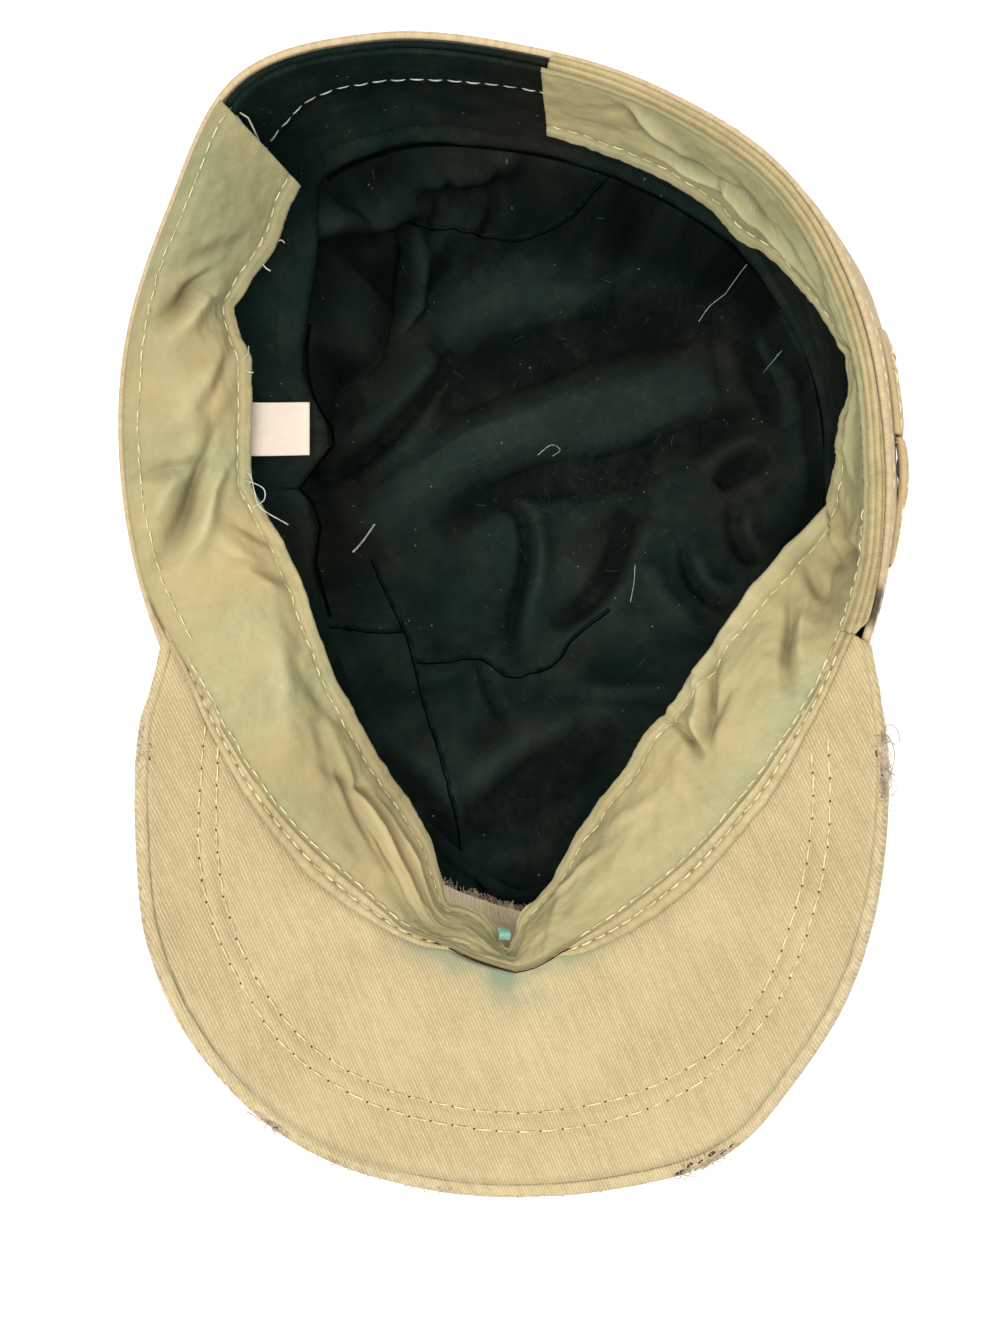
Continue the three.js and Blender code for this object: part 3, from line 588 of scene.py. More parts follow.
def new_mesh(name: str, points: Array, faces: Sequence[Sequence[int]]) -> bpy.types.Mesh:
    """A smooth mesh of points given in millimetres."""
    mesh = bpy.data.meshes.new(name)
    mesh.from_pydata((points * MM).tolist(), [], faces)
    mesh.polygons.foreach_set("use_smooth", np.ones(len(faces), dtype=bool))
    return mesh


def make_object(name: str, mesh: bpy.types.Mesh, material: bpy.types.Material) -> bpy.types.Object:
    """Puts a mesh in the scene as an object with one material."""
    mesh.update()
    mesh.materials.append(material)
    piece = bpy.data.objects.new(name, mesh)
    bpy.context.scene.collection.objects.link(piece)
    return piece


def settle(piece: bpy.types.Object, slot: str, *nodes: str) -> bpy.types.Object:
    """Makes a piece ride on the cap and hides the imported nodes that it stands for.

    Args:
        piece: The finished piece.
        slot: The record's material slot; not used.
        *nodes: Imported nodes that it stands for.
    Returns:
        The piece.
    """
    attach(piece, BODY)
    if nodes:
        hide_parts(*nodes)
    LOG.info("%s: %d faces", piece.name, len(piece.data.polygons))
    return piece


def amount(value: Amount, s: Array, t: Array) -> Array:
    """A size that may be a number or a function of place, as an array."""
    return value(s, t) if callable(value) else np.full(s.shape, float(value))


@dataclass
class ClothSheet:
    """A surface given a thickness, with lengths along it as its UV map.

    above, below: offsets of the two faces along the normal, in millimetres.
    relief: height added to both faces. masks: what each of the material's masks
    says at a place. closed joins the last column to the first. flat_uv lays the weave straight
    across the piece, as on cloth that was cut flat.
    """

    surface: Surface
    along: Array
    away: Array
    above: Amount
    below: Amount
    relief: Amount = 0.0
    masks: dict[str, Callable[[Array, Array, Array], Array]] = field(default_factory=dict)
    closed: bool = False
    flat_uv: bool = False
    nudge: float = 0.02

    def grids(self) -> tuple[Array, Array]:
        """The places of the sheet's grid, as two arrays."""
        return np.meshgrid(self.along, self.away, indexing="ij")

    def normals(self, s: Array, t: Array) -> Array:
        """Unit normals, outward from the hollow."""
        low, high = self.away[0], self.away[-1]
        u = self.surface(s + self.nudge, t) - self.surface(s - self.nudge, t)
        ahead = self.surface(s, np.clip(t + self.nudge, low, high))
        v = ahead - self.surface(s, np.clip(t - self.nudge, low, high))
        normal = np.cross(v, u)
        return unit(normal)

    def point(self, s: Array, t: Array, offset: Amount) -> Array:
        """Points of the sheet at an offset from its middle surface."""
        lift = amount(offset, s, t) + amount(self.relief, s, t)
        return self.surface(s, t) + self.normals(s, t) * lift[..., None]

    def build(self, name: str, material: bpy.types.Material) -> bpy.types.Object:
        """Makes the sheet's mesh.

        Args:
            name: The piece's name.
            material: Its finish.
        Returns:
            The object.
        """
        s, t = self.grids()
        columns, rows = s.shape
        middle = self.surface(s, t)
        normal = self.normals(s, t)
        relief = amount(self.relief, s, t)
        upper = middle + normal * (amount(self.above, s, t) + relief)[..., None]
        lower = middle + normal * (amount(self.below, s, t) + relief)[..., None]
        points = np.concatenate([upper.reshape(-1, 3), lower.reshape(-1, 3)])

        half = columns * rows
        spans = columns if self.closed else columns - 1
        i, j = np.meshgrid(np.arange(spans), np.arange(rows - 1), indexing="ij")
        n = (i + 1) % columns
        a, b, c, d = (i * rows + j, i * rows + j + 1, n * rows + j + 1, n * rows + j)
        top = np.stack([a, b, c, d], axis=-1).reshape(-1, 4)
        bottom = np.stack([a, d, c, b], axis=-1).reshape(-1, 4) + half
        e = np.arange(spans)
        f = (e + 1) % columns
        last = rows - 1
        mouth = np.stack([e * rows, f * rows, f * rows + half, e * rows + half], axis=-1)
        ends = (e * rows + last, f * rows + last)
        foot = np.stack([ends[0], ends[0] + half, ends[1] + half, ends[1]], axis=-1)
        faces = [top, bottom, mouth, foot]
        if not self.closed:
            k = np.arange(rows - 1)
            end = (columns - 1) * rows
            faces.append(np.stack([k, k + half, k + 1 + half, k + 1], axis=-1))
            faces.append(np.stack([end + k, end + k + 1, end + k + 1 + half, end + k + half], axis=-1))
        faces = np.concatenate(faces)
        mesh = new_mesh(name, points, faces.tolist())

        hop_s = np.linalg.norm(np.diff(middle, axis=0), axis=-1)
        run_s = np.concatenate([[0.0], np.cumsum(hop_s.mean(axis=1))])
        hop_t = np.linalg.norm(np.diff(middle, axis=1), axis=-1)
        run_t = np.concatenate([np.zeros((columns, 1)), np.cumsum(hop_t, axis=1)], axis=1)
        u = np.tile(np.repeat(run_s, rows), 2)
        v = np.tile(run_t.reshape(-1), 2)
        layer = mesh.uv_layers.new(name="Cloth")
        loops = faces.reshape(-1)
        uv = np.stack([u[loops], v[loops]], axis=-1)
        if self.flat_uv:
            uv = np.tile(middle[..., :2].reshape(-1, 2), (2, 1))[loops]
        elif self.closed:
            seam = np.linalg.norm(middle[-1] - middle[0], axis=-1).mean() + run_s[-1]
            fixed = uv[:, 0].reshape(-1, 4)
            wraps = np.ptp(fixed, axis=1) > seam / 2
            fixed[wraps] = np.where(fixed[wraps] < seam / 2, fixed[wraps] + seam, fixed[wraps])
            uv[:, 0] = fixed.reshape(-1)
        layer.data.foreach_set("uv", (uv * 0.1).reshape(-1))

        for mask, rule in self.masks.items():
            values = np.tile(rule(s, t, middle).reshape(-1), 2)
            attribute = mesh.attributes.new(mask, "FLOAT", "POINT")
            attribute.data.foreach_set("value", values.astype(np.float32))
        return make_object(name, mesh, material)


@dataclass
class ThreadBundle:
    """Round threads along many short lines, joined into one mesh."""

    sides: int = 5
    points: list[Array] = field(default_factory=list)
    faces: list[Array] = field(default_factory=list)
    count: int = 0

    def add(self, line: Array, radius: Union[float, Array]) -> None:
        """Adds one thread.

        Args:
            line: Its points, in millimetres.
            radius: Its radius, or one for each point.
        """
        steps = len(line)
        radius = np.broadcast_to(radius, (steps,))
        run = np.gradient(line, axis=0)
        run = unit(run)
        guide = np.array([0.0, 0.0, 1.0]) if abs(run[:, 2]).mean() < 0.9 else np.array([1.0, 0, 0])
        side = np.cross(run, guide)
        side = unit(side)
        lift = np.cross(side, run)
        turns = np.arange(self.sides) * 2 * np.pi / self.sides
        ring = side[:, None] * np.cos(turns)[None, :, None]
        ring = ring + lift[:, None] * np.sin(turns)[None, :, None]
        tube = line[:, None] + ring * radius[:, None, None]
        i, j = np.meshgrid(np.arange(steps - 1), np.arange(self.sides), indexing="ij")
        n = (j + 1) % self.sides
        here, ahead = i * self.sides, (i + 1) * self.sides
        quads = np.stack([here + j, here + n, ahead + n, ahead + j], axis=-1).reshape(-1, 4)
        tips = steps * self.sides
        cap_points = np.stack([line[0], line[-1]])
        k = np.arange(self.sides)
        m = (k + 1) % self.sides
        first = np.stack([k * 0 + tips, m, k], axis=-1)
        base = (steps - 1) * self.sides
        final = np.stack([k * 0 + tips + 1, base + k, base + m], axis=-1)
        self.points.append(np.concatenate([tube.reshape(-1, 3), cap_points]))
        self.faces.extend((quads + self.count).tolist())
        self.faces.extend((first + self.count).tolist())
        self.faces.extend((final + self.count).tolist())
        self.count += tips + 2

    def build(self, name: str, material: bpy.types.Material) -> bpy.types.Object:
        """Makes one object of all the threads."""
        return make_object(name, new_mesh(name, np.concatenate(self.points), self.faces), material)


def resampled(line: Array, spacing: float) -> Array:
    """The same line with its points an even way apart."""
    reach = reach_along(line)
    places = np.linspace(0, reach[-1], max(2, int(round(reach[-1] / spacing)) + 1))
    return np.stack([np.interp(places, reach, line[:, k]) for k in range(3)], axis=1)


def row_on(sheet: ClothSheet, s: Places, t: Places, offset: Amount) -> tuple[Array, Array]:
    """A line on one face of a sheet, with normals.

    Args:
        sheet: The sheet.
        s: Stations of the line, or one for all of it.
        t: Places from the rim, or one for all of it.
        offset: The face's offset, negative for the face towards the hollow.
    Returns:
        The points and the normals on the viewer's side.
    """
    s2, t2 = (places[:, None] for places in np.broadcast_arrays(s, t))
    points = sheet.point(s2, t2, offset)[:, 0]
    sign = 1.0 if np.mean(amount(offset, s2, t2)) > 0 else -1.0
    return points, sheet.normals(s2, t2)[:, 0] * sign


@dataclass
class Seam:
    """A row of stitches: pale thread lying on the cloth between pierced holes, whose shade is painted as
    small dark discs.
    """

    pitch: float = 3.4
    stitch: float = 2.7
    radius: float = 0.22
    lift: float = 0.12
    waver: float = 0.12
    seed: int = 5

    def sew(self, threads: ThreadBundle, holes: Optional[ThreadBundle], line: Array,
            normal: Array) -> None:
        """Sews along a line.

        Args:
            threads: Where the stitches go.
            holes: Where the needle holes' painted shade goes, as small dark discs, if they show.
            line: Points on the cloth's face, in millimetres.
            normal: The face's normals at those points, towards the viewer.
        """
        random = np.random.RandomState(self.seed)
        reach = reach_along(line)
        count = int(reach[-1] // self.pitch)
        profile = np.array([-0.9, 0.35, 0.9, 1.0, 0.95, 0.35, -0.9])

        def read(table: Array, places: Array) -> Array:
            """Values of a table at places along the line."""
            return np.stack([np.interp(places, reach, table[:, k]) for k in range(3)], axis=1)

        for k in range(count):
            start = (k + 0.5 * (1 - self.stitch / self.pitch)) * self.pitch
            places = np.linspace(start, start + self.stitch, len(profile))
            up = read(normal, places)
            up = unit(up)
            path = read(line, places)
            side = np.cross(path[-1] - path[0], up[3])
            side /= max(np.linalg.norm(side), 1e-9)
            drift = random.uniform(-self.waver, self.waver, 2)
            path = path + side * np.linspace(drift[0], drift[1], len(profile))[:, None]
            height = self.lift + self.radius * 0.5
            path = path + up * (profile * height)[:, None]
            threads.add(path, self.radius * random.uniform(0.85, 1.1))
            if holes is not None:
                # A small dark disc of painted shade where the needle pierced the cloth.
                eye = path[0] - up[0] * (height * profile[0])
                step = (path[1] - path[0]) / max(np.linalg.norm(path[1] - path[0]), 1e-9)
                flat = np.stack([eye - step * 0.42, eye, eye + step * 0.2])
                holes.add(flat + up[0] * 0.02, np.array([0.12, 0.3, 0.1]) * self.radius / 0.22)

    def follow(self, threads: ThreadBundle, sheet: ClothSheet, s: Places, t: Places,
            offset: Amount) -> None:
        """Sews along a row of a sheet, given as for row_on."""
        self.sew(threads, None, *row_on(sheet, s, t, offset))


# Node graphs.


def linear(red: float, green: float, blue: float) -> tuple[float, float, float, float]:
    """A screen colour from 0 to 255 as a linear one."""
    def channel(value: float) -> float:
        """One channel, by the sRGB curve."""
        value /= 255
        return value / 12.92 if value <= 0.04045 else ((value + 0.055) / 1.055) ** 2.4
    return (channel(red), channel(green), channel(blue), 1.0)


Socket = bpy.types.NodeSocket
Link = Union[Socket, float, Sequence[float]]


class Graph:
    """Short ways to add and join nodes of one tree."""

    def __init__(self, tree: bpy.types.NodeTree) -> None:
        """Works on a tree."""
        self.tree = tree

    def node(self, kind: str, feeds: Optional[dict[Union[str, int], Link]] = None,
            **settings: object) -> bpy.types.Node:
        """Adds a shader node.

        Args:
            kind: Its type's name after ShaderNode.
            feeds: A link or a plain value for each input named.
            **settings: Its options.
        Returns:
            The node.
        """
        made = self.tree.nodes.new("ShaderNode" + kind)
        for name, value in settings.items():
            setattr(made, name, value)
        for name, value in (feeds or {}).items():
            self.feed(made.inputs[name], value)
        return made

    def feed(self, socket: Socket, value: Link) -> None:
        """Joins a socket to a link, or sets it to a plain value."""
        if isinstance(value, Socket):
            self.tree.links.new(value, socket)
        else:
            socket.default_value = value

    def math(self, operation: str, *values: Link, clamp: bool = False) -> Socket:
        """A Math node of one to three values."""
        return self.node("Math", dict(enumerate(values)), operation=operation, use_clamp=clamp).outputs[0]

    def times(self, *factors: Link) -> Socket:
        """The product of several values."""
        return reduce(lambda first, second: self.math("MULTIPLY", first, second), factors)

    def plus(self, first: Link, second: Link) -> Socket:
        """The sum of two values."""
        return self.math("ADD", first, second)

    def mix(self, factor: Link, first: Link, second: Link) -> Socket:
        """A colour mix."""
        return self.node("Mix", {0: factor, 6: first, 7: second}, data_type="RGBA").outputs[2]

    def noise(self, vector: Link, scale: Link, detail: float = 2.0, roughness: float = 0.5) -> Socket:
        """A noise texture's value."""
        return self.node("TexNoise", {"Vector": vector, "Scale": scale, "Detail": detail,
            "Roughness": roughness}).outputs["Fac"]

    def ramp(self, value: Link, low: float, high: float, to_low: float = 0.0,
            to_high: float = 1.0) -> Socket:
        """Maps a range smoothly to another."""
        given = dict(enumerate((value, low, high, to_low, to_high)))
        return self.node("MapRange", given, interpolation_type="SMOOTHSTEP").outputs[0]

    def mask(self, name: str) -> Socket:
        """A mask painted on the mesh's points."""
        return self.node("Attribute", attribute_name=name).outputs["Fac"]

    def bump(self, height: Link, strength: float, distance: float,
            normal: Optional[Socket] = None) -> Socket:
        """A normal bent by a height, in metres of distance, over another if one is given."""
        feeds = {"Height": height, "Strength": strength, "Distance": distance}
        if normal is not None:
            feeds["Normal"] = normal
        return self.node("Bump", feeds).outputs[0]


def new_group(name: str, inputs: dict[str, Optional[float]],
        outputs: Sequence[str]) -> tuple[bpy.types.NodeTree, Graph, object, object]:
    """Starts a node group.

    Args:
        name: The group's name.
        inputs: Each input's name and value, or None for a vector.
        outputs: The outputs' names.
    Returns:
        The tree, its graph, its input sockets and its output sockets.
    """
    tree = bpy.data.node_groups.new(name, "ShaderNodeTree")
    for label, default in inputs.items():
        kind = "NodeSocketVector" if default is None else "NodeSocketFloat"
        socket = tree.interface.new_socket(name=label, in_out="INPUT", socket_type=kind)
        if default is not None:
            socket.default_value = default
    for label in outputs:
        tree.interface.new_socket(name=label, in_out="OUTPUT", socket_type="NodeSocketFloat")
    return (tree, Graph(tree), tree.nodes.new("NodeGroupInput").outputs,
        tree.nodes.new("NodeGroupOutput").inputs)


def new_material(name: str) -> tuple[bpy.types.Material, Graph]:
    """An empty material and its graph."""
    material = bpy.data.materials.new(name)
    material.use_nodes = True
    material.node_tree.nodes.clear()
    return material, Graph(material.node_tree)


@dataclass
class Effects:
    """Node groups that several finishes share."""

    weave: bpy.types.NodeTree = field(default_factory=lambda: Effects._weave())
    blotches: bpy.types.NodeTree = field(default_factory=lambda: Effects._blotches())
    lint: bpy.types.NodeTree = field(default_factory=lambda: Effects._lint())

    @staticmethod
    def _weave() -> bpy.types.NodeTree:
        """Twill: slanted ribs broken by the threads that cross them, with slubs."""
        tree, g, given, put = new_group("Twill weave", {"Vector": None, "Ribs": 80.0, "Slant": 1.2,
            "Threads": 160.0, "Waver": 0.25}, ("Height", "Rib", "Slub"))
        x, y = g.node("SeparateXYZ", {0: given["Vector"]}).outputs[:2]
        turn = 2 * math.pi
        across, down = g.math("COSINE", given["Slant"]), g.math("SINE", given["Slant"])
        ribs = g.plus(g.times(x, across), g.times(y, down))
        along = g.math("SUBTRACT", g.times(y, across), g.times(x, down))
        drift = g.math("SUBTRACT", g.noise(given["Vector"], 1.6, 4.0, 0.65), 0.5)
        phase = g.plus(g.times(ribs, given["Ribs"]), g.times(drift, given["Waver"]))
        rib = g.math("MULTIPLY_ADD", g.math("SINE", g.times(phase, turn)), 0.5, 0.5)
        rib = g.times(rib, g.ramp(g.noise(given["Vector"], 13.0, 3.0, 0.6), 0.3, 0.7, 0.35, 1.0))
        weft, warp = (g.math("SINE", g.times(way, given["Threads"], turn)) for way in (y, x))
        fine = g.math("MULTIPLY_ADD", g.plus(weft, warp), 0.2, 0.4)
        streak = g.node("CombineXYZ", {0: g.times(ribs, 9.0), 1: g.times(along, 0.8)})
        slub = g.noise(streak.outputs[0], 1.0, 3.0, 0.6)
        height = g.plus(g.times(rib, 0.7), g.times(fine, 0.5))
        g.feed(put["Height"], g.plus(height, g.times(slub, 0.6)))
        g.feed(put["Rib"], rib)
        g.feed(put["Slub"], slub)
        return tree

    @staticmethod
    def _blotches() -> bpy.types.NodeTree:
        """Large and small uneven fading, as washing and handling leave."""
        tree, g, given, put = new_group("Faded blotches", {"Vector": None, "Scale": 2.0},
            ("Large", "Small", "Speck"))
        for name, finer, detail, rough, low, high in (("Large", 1.0, 3.0, 0.55, 0.35, 0.65),
                ("Small", 7.0, 4.0, 0.65, 0.35, 0.65), ("Speck", 26.0, 2.0, 0.5, 0.62, 0.72)):
            scale = g.times(given["Scale"], finer)
            g.feed(put[name], g.ramp(g.noise(given["Vector"], scale, detail, rough), low, high))
        return tree

    @staticmethod
    def _lint() -> bpy.types.NodeTree:
        """Fine pale dust and specks that dark cloth picks up."""
        tree, g, given, put = new_group("Lint and dust", {"Vector": None, "Amount": 0.5},
            ("Speck", "Haze"))
        cells = g.node("TexVoronoi", {"Vector": given["Vector"], "Scale": 3.4}, feature="F1")
        dot = g.ramp(cells.outputs["Distance"], 0.03, 0.1, 1.0, 0.0)
        pick = g.ramp(g.noise(given["Vector"], 1.3, 2.0), 0.52, 0.6)
        g.feed(put["Speck"], g.times(dot, pick, given["Amount"]))
        haze = g.ramp(g.noise(given["Vector"], 0.55, 6.0, 0.75), 0.42, 0.75)
        g.feed(put["Haze"], g.times(haze, given["Amount"]))
        return tree


@dataclass(frozen=True)
class ClothFinish:
    """A woven cloth: its colours, weave and surface.

    ribs and threads count per 10 mm. slant is the ribs' angle in radians.
    """

    name: str
    base: tuple[float, float, float]
    light: tuple[float, float, float]
    dark: tuple[float, float, float]
    ribs: float
    slant: float
    threads: float
    waver: float = 0.25
    rib_contrast: float = 0.5
    streak: float = 0.2
    blotch: float = 0.3
    roughness: float = 0.85
    sheen: float = 0.12
    bump: float = 0.25
    lint: float = 0.0
    stain: tuple[float, float, float] = (150, 140, 90)
    stain_amount: float = 0.8
    # Colour and strength of the second mask: wear, and on the lining's and sweatband's raised folds a painted
    # highlight.
    wear_and_highlight: tuple[float, float, float] = (198, 186, 160)
    wear_and_highlight_amount: float = 0.6
    # Colour and strength of the third mask: painted shade in creases, grooves, gaps and shaded hollows.
    painted_shade: tuple[float, float, float] = (74, 60, 38)
    painted_shade_amount: float = 0.9
    gloss: float = 0.2
    wear_and_highlight_grain: float = 1.0

    def build(self, effects: Effects) -> bpy.types.Material:
        """Makes the material.

        Args:
            effects: The shared node groups.
        Returns:
            The material.
        """
        material, g = new_material(self.name)
        where = g.node("UVMap", uv_map="Cloth").outputs[0]
        weave = g.node("Group", {"Vector": where, "Ribs": self.ribs, "Slant": self.slant,
            "Threads": self.threads, "Waver": self.waver}, node_tree=effects.weave).outputs
        blotches = g.node("Group", {"Vector": where, "Scale": 0.45}, node_tree=effects.blotches).outputs

        base, light, dark = (linear(*c) for c in (self.base, self.light, self.dark))
        colour = g.mix(g.times(weave["Rib"], self.rib_contrast), base, light)
        slub = g.ramp(weave["Slub"], 0.35, 0.62, 1.0, 0.0)
        colour = g.mix(g.times(slub, self.streak), colour, dark)
        colour = g.mix(g.times(blotches["Large"], self.blotch), colour, light)
        colour = g.mix(g.times(blotches["Small"], self.blotch * 0.6), colour, dark)
        grain = g.ramp(g.noise(where, 4.5, 5.0, 0.7), 0.38, 0.62, 1.0 - self.wear_and_highlight_grain, 1.0)
        # Masks in turn: stain; wear, which on folded cloth also paints highlights; and painted shade.
        for mask, amount, tint in (("stain", self.stain_amount, self.stain),
                ("wear_and_highlight", self.wear_and_highlight_amount, self.wear_and_highlight), ("painted_shade", self.painted_shade_amount, self.painted_shade)):
            share = g.math("MULTIPLY", g.mask(mask), amount, clamp=True)
            if mask == "wear_and_highlight":
                share = g.times(share, grain)
            colour = g.mix(share, colour, linear(*tint))
        if self.lint > 0:
            lint = g.node("Group", {"Vector": where, "Amount": self.lint}, node_tree=effects.lint).outputs
            colour = g.mix(g.times(lint["Haze"], 0.10), colour, linear(120, 118, 100))
            colour = g.mix(lint["Speck"], colour, linear(150, 152, 140))

        roughness = g.math("MULTIPLY_ADD", blotches["Small"], 0.08, self.roughness - 0.04)
        bump = g.bump(weave["Height"], self.bump, 0.00025)
        soft = g.bump(g.noise(where, 1.6, 3.0, 0.5), 0.35, 0.0012, bump)
        shader = g.node("BsdfPrincipled", {"Base Color": colour, "Roughness": roughness, "Normal": soft,
            "Sheen Weight": self.sheen, "Sheen Roughness": 0.5, "Specular IOR Level": self.gloss})
        g.node("OutputMaterial", {"Surface": shader.outputs[0]})
        return material


@dataclass(frozen=True)
class ThreadFinish:
    """Spun thread: one colour with uneven tone along it."""

    name: str
    base: tuple[float, float, float]
    dark: tuple[float, float, float]
    roughness: float = 0.7
    sheen: float = 0.15
    gloss: float = 0.3

    def build(self) -> bpy.types.Material:
        """Makes the material."""
        material, g = new_material(self.name)
        place = g.node("TexCoord").outputs["Object"]
        tone = g.ramp(g.noise(place, 400.0, 3.0), 0.35, 0.65)
        fine = g.node("VectorMath", {0: place, 1: (2600.0, 2600.0, 900.0)}, operation="MULTIPLY")
        twist = g.noise(fine.outputs[0], 1.0, 1.0)
        shader = g.node("BsdfPrincipled", {"Base Color": g.mix(tone, linear(*self.base),
            linear(*self.dark)), "Roughness": g.math("MULTIPLY_ADD", tone, 0.1, self.roughness),
            "Normal": g.bump(twist, 0.4, 0.0001), "Sheen Weight": self.sheen,
            "Specular IOR Level": self.gloss})
        g.node("OutputMaterial", {"Surface": shader.outputs[0]})
        return material


class Cloth(Enum):
    """The cloths and threads of the cap."""

    SHELL = ClothFinish("washed_canvas", (168, 146, 106), (186, 166, 128), (146, 122, 84), 11.0, -0.6,
        18.0, 0.4, rib_contrast=0.3, streak=0.12, bump=0.4, blotch=0.35, wear_and_highlight_amount=0.35,
        painted_shade=(44, 36, 26))
    PEAK = ClothFinish("straw_twill", (153, 136, 98), (202, 186, 146), (128, 110, 76), 14.0, 0.42, 22.0,
        0.3, rib_contrast=0.75, streak=0.24, blotch=0.14, bump=0.6, stain=(112, 124, 100),
        stain_amount=0.85, wear_and_highlight_amount=0.3, painted_shade=(40, 32, 20))
    # The sweatband's pale tint also paints highlights on its raised folds.
    SWEAT = ClothFinish("satin_sweatband", (133, 134, 96), (162, 158, 116), (106, 104, 72), 17.0, 0.9,
        24.0, rib_contrast=0.22, streak=0.2, blotch=0.35, bump=0.2, roughness=0.55, sheen=0.08,
        stain=(160, 141, 98), stain_amount=0.9, wear_and_highlight=(196, 188, 146), wear_and_highlight_amount=0.5, wear_and_highlight_grain=0.3)
    RIM = ClothFinish("folded_rim_cloth", (152, 138, 98), (186, 170, 126), (120, 105, 70), 12.0, 0.3,
        20.0, 0.5, rib_contrast=0.25, streak=0.25, blotch=0.4, bump=0.4, wear_and_highlight_amount=0.25)
    RAW = ClothFinish("raw_canvas", (212, 194, 156), (240, 226, 192), (166, 146, 114), 8.0, 0.35, 14.0,
        0.4, rib_contrast=0.8, streak=0.25, bump=0.8)
    # The lining's pale tint is mostly a painted highlight on its ridges; its darkest tint is the painted
    # shade of its valleys.
    LINING = ClothFinish("dark_twill", (8, 20, 17), (16, 33, 28), (4, 10, 9), 14.0, 0.62, 20.0, 0.3,
        rib_contrast=0.55, blotch=0.4, bump=0.4, roughness=0.9, sheen=0.0, lint=0.5, stain=(29, 27, 20),
        stain_amount=0.75, wear_and_highlight=(31, 42, 36), wear_and_highlight_amount=0.9, painted_shade=(3, 10, 9), gloss=0.05,
        wear_and_highlight_grain=0.2)
    LABEL = ClothFinish("label_tape", (190, 177, 162), (200, 188, 174), (180, 165, 148), 22.0, 0.0, 26.0,
        rib_contrast=0.15, blotch=0.1, bump=0.15, roughness=0.5, sheen=0.05)


class Thread(Enum):
    """The threads of the cap."""

    STRAW = ThreadFinish("straw_thread", (212, 196, 150), (172, 153, 106))
    OLIVE = ThreadFinish("olive_thread", (206, 197, 152), (168, 158, 112))
    PALE = ThreadFinish("pale_thread", (184, 188, 176), (144, 150, 138))
    FRAY = ThreadFinish("frayed_yarn", (190, 177, 156), (142, 118, 96))
    MINT = ThreadFinish("mint_thread", (122, 168, 150), (96, 142, 128))
    # Painted shade in the needle holes, laid on as small dark discs.
    HOLE_SHADE = ThreadFinish("needle_hole_shade", (84, 62, 34), (56, 42, 24), 0.95, 0.0, 0.05)
    # Paler than the sweatband: a painted highlight along the rolled hem.
    HEM_HIGHLIGHT = ThreadFinish("rolled_hem_highlight", (196, 184, 134), (172, 160, 112), 0.8, 0.08, 0.2)
    SHADE = ThreadFinish("fold_shadow", (66, 50, 30), (46, 35, 20), 0.95, 0.0, 0.02)
    # Painted shade: dark lines in the lining's seam grooves and under its upper strip.
    SEAM_SHADE = ThreadFinish("seam_groove_shade", (2, 5, 5), (1, 3, 3), 0.95, 0.0, 0.02)
    RIDGE = ThreadFinish("seam_ridge", (16, 31, 27), (8, 17, 15), 0.9, 0.0, 0.03)
    LINT = ThreadFinish("lint_fibre", (84, 92, 82), (48, 56, 50), 0.9, 0.0, 0.1)
    SNAP = ThreadFinish("lilac_snap", (190, 176, 184), (170, 156, 164), 0.4)
    TEAR = ThreadFinish("torn_backing", (76, 60, 58), (46, 36, 40), 0.95, 0.0, 0.05)


@dataclass
class Wardrobe:
    """Every finish, made once."""

    effects: Effects = field(default_factory=Effects)
    made: dict[Enum, bpy.types.Material] = field(default_factory=dict)

    def material(self, kind: Union[Cloth, Thread]) -> bpy.types.Material:
        """The material of a cloth or a thread."""
        if kind not in self.made:
            given = (self.effects,) if isinstance(kind, Cloth) else ()
            self.made[kind] = kind.value.build(*given)
        return self.made[kind]

    def dress(self, shape: Union[ClothSheet, ThreadBundle], name: str, kind: Union[Cloth, Thread],
            slot: str, *nodes: str) -> bpy.types.Object:
        """Makes and settles a piece.

        Args:
            shape: Its sheet or threads.
            name: Its name.
            kind: Its finish.
            slot: The record's material slot.
            *nodes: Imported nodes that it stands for.
        Returns:
            The piece.
        """
        return settle(shape.build(name, self.material(kind)), slot, *nodes)


# Sub-assemblies.


def spread(start: float, stop: float, step: float) -> Array:
    """Even places from start to stop, about a step apart."""
    return np.linspace(start, stop, max(2, int(round((stop - start) / step)) + 1))


def hem_ridge(t: Array, length: float, width: float, height: float) -> Array:
    """The thicker turned hem at a strip's free edge, in millimetres of height."""
    distance = (1 - t) * length
    return height * clamped(1 - (distance / width) ** 6) * np.clip(distance / 0.4, 0.35, 1)


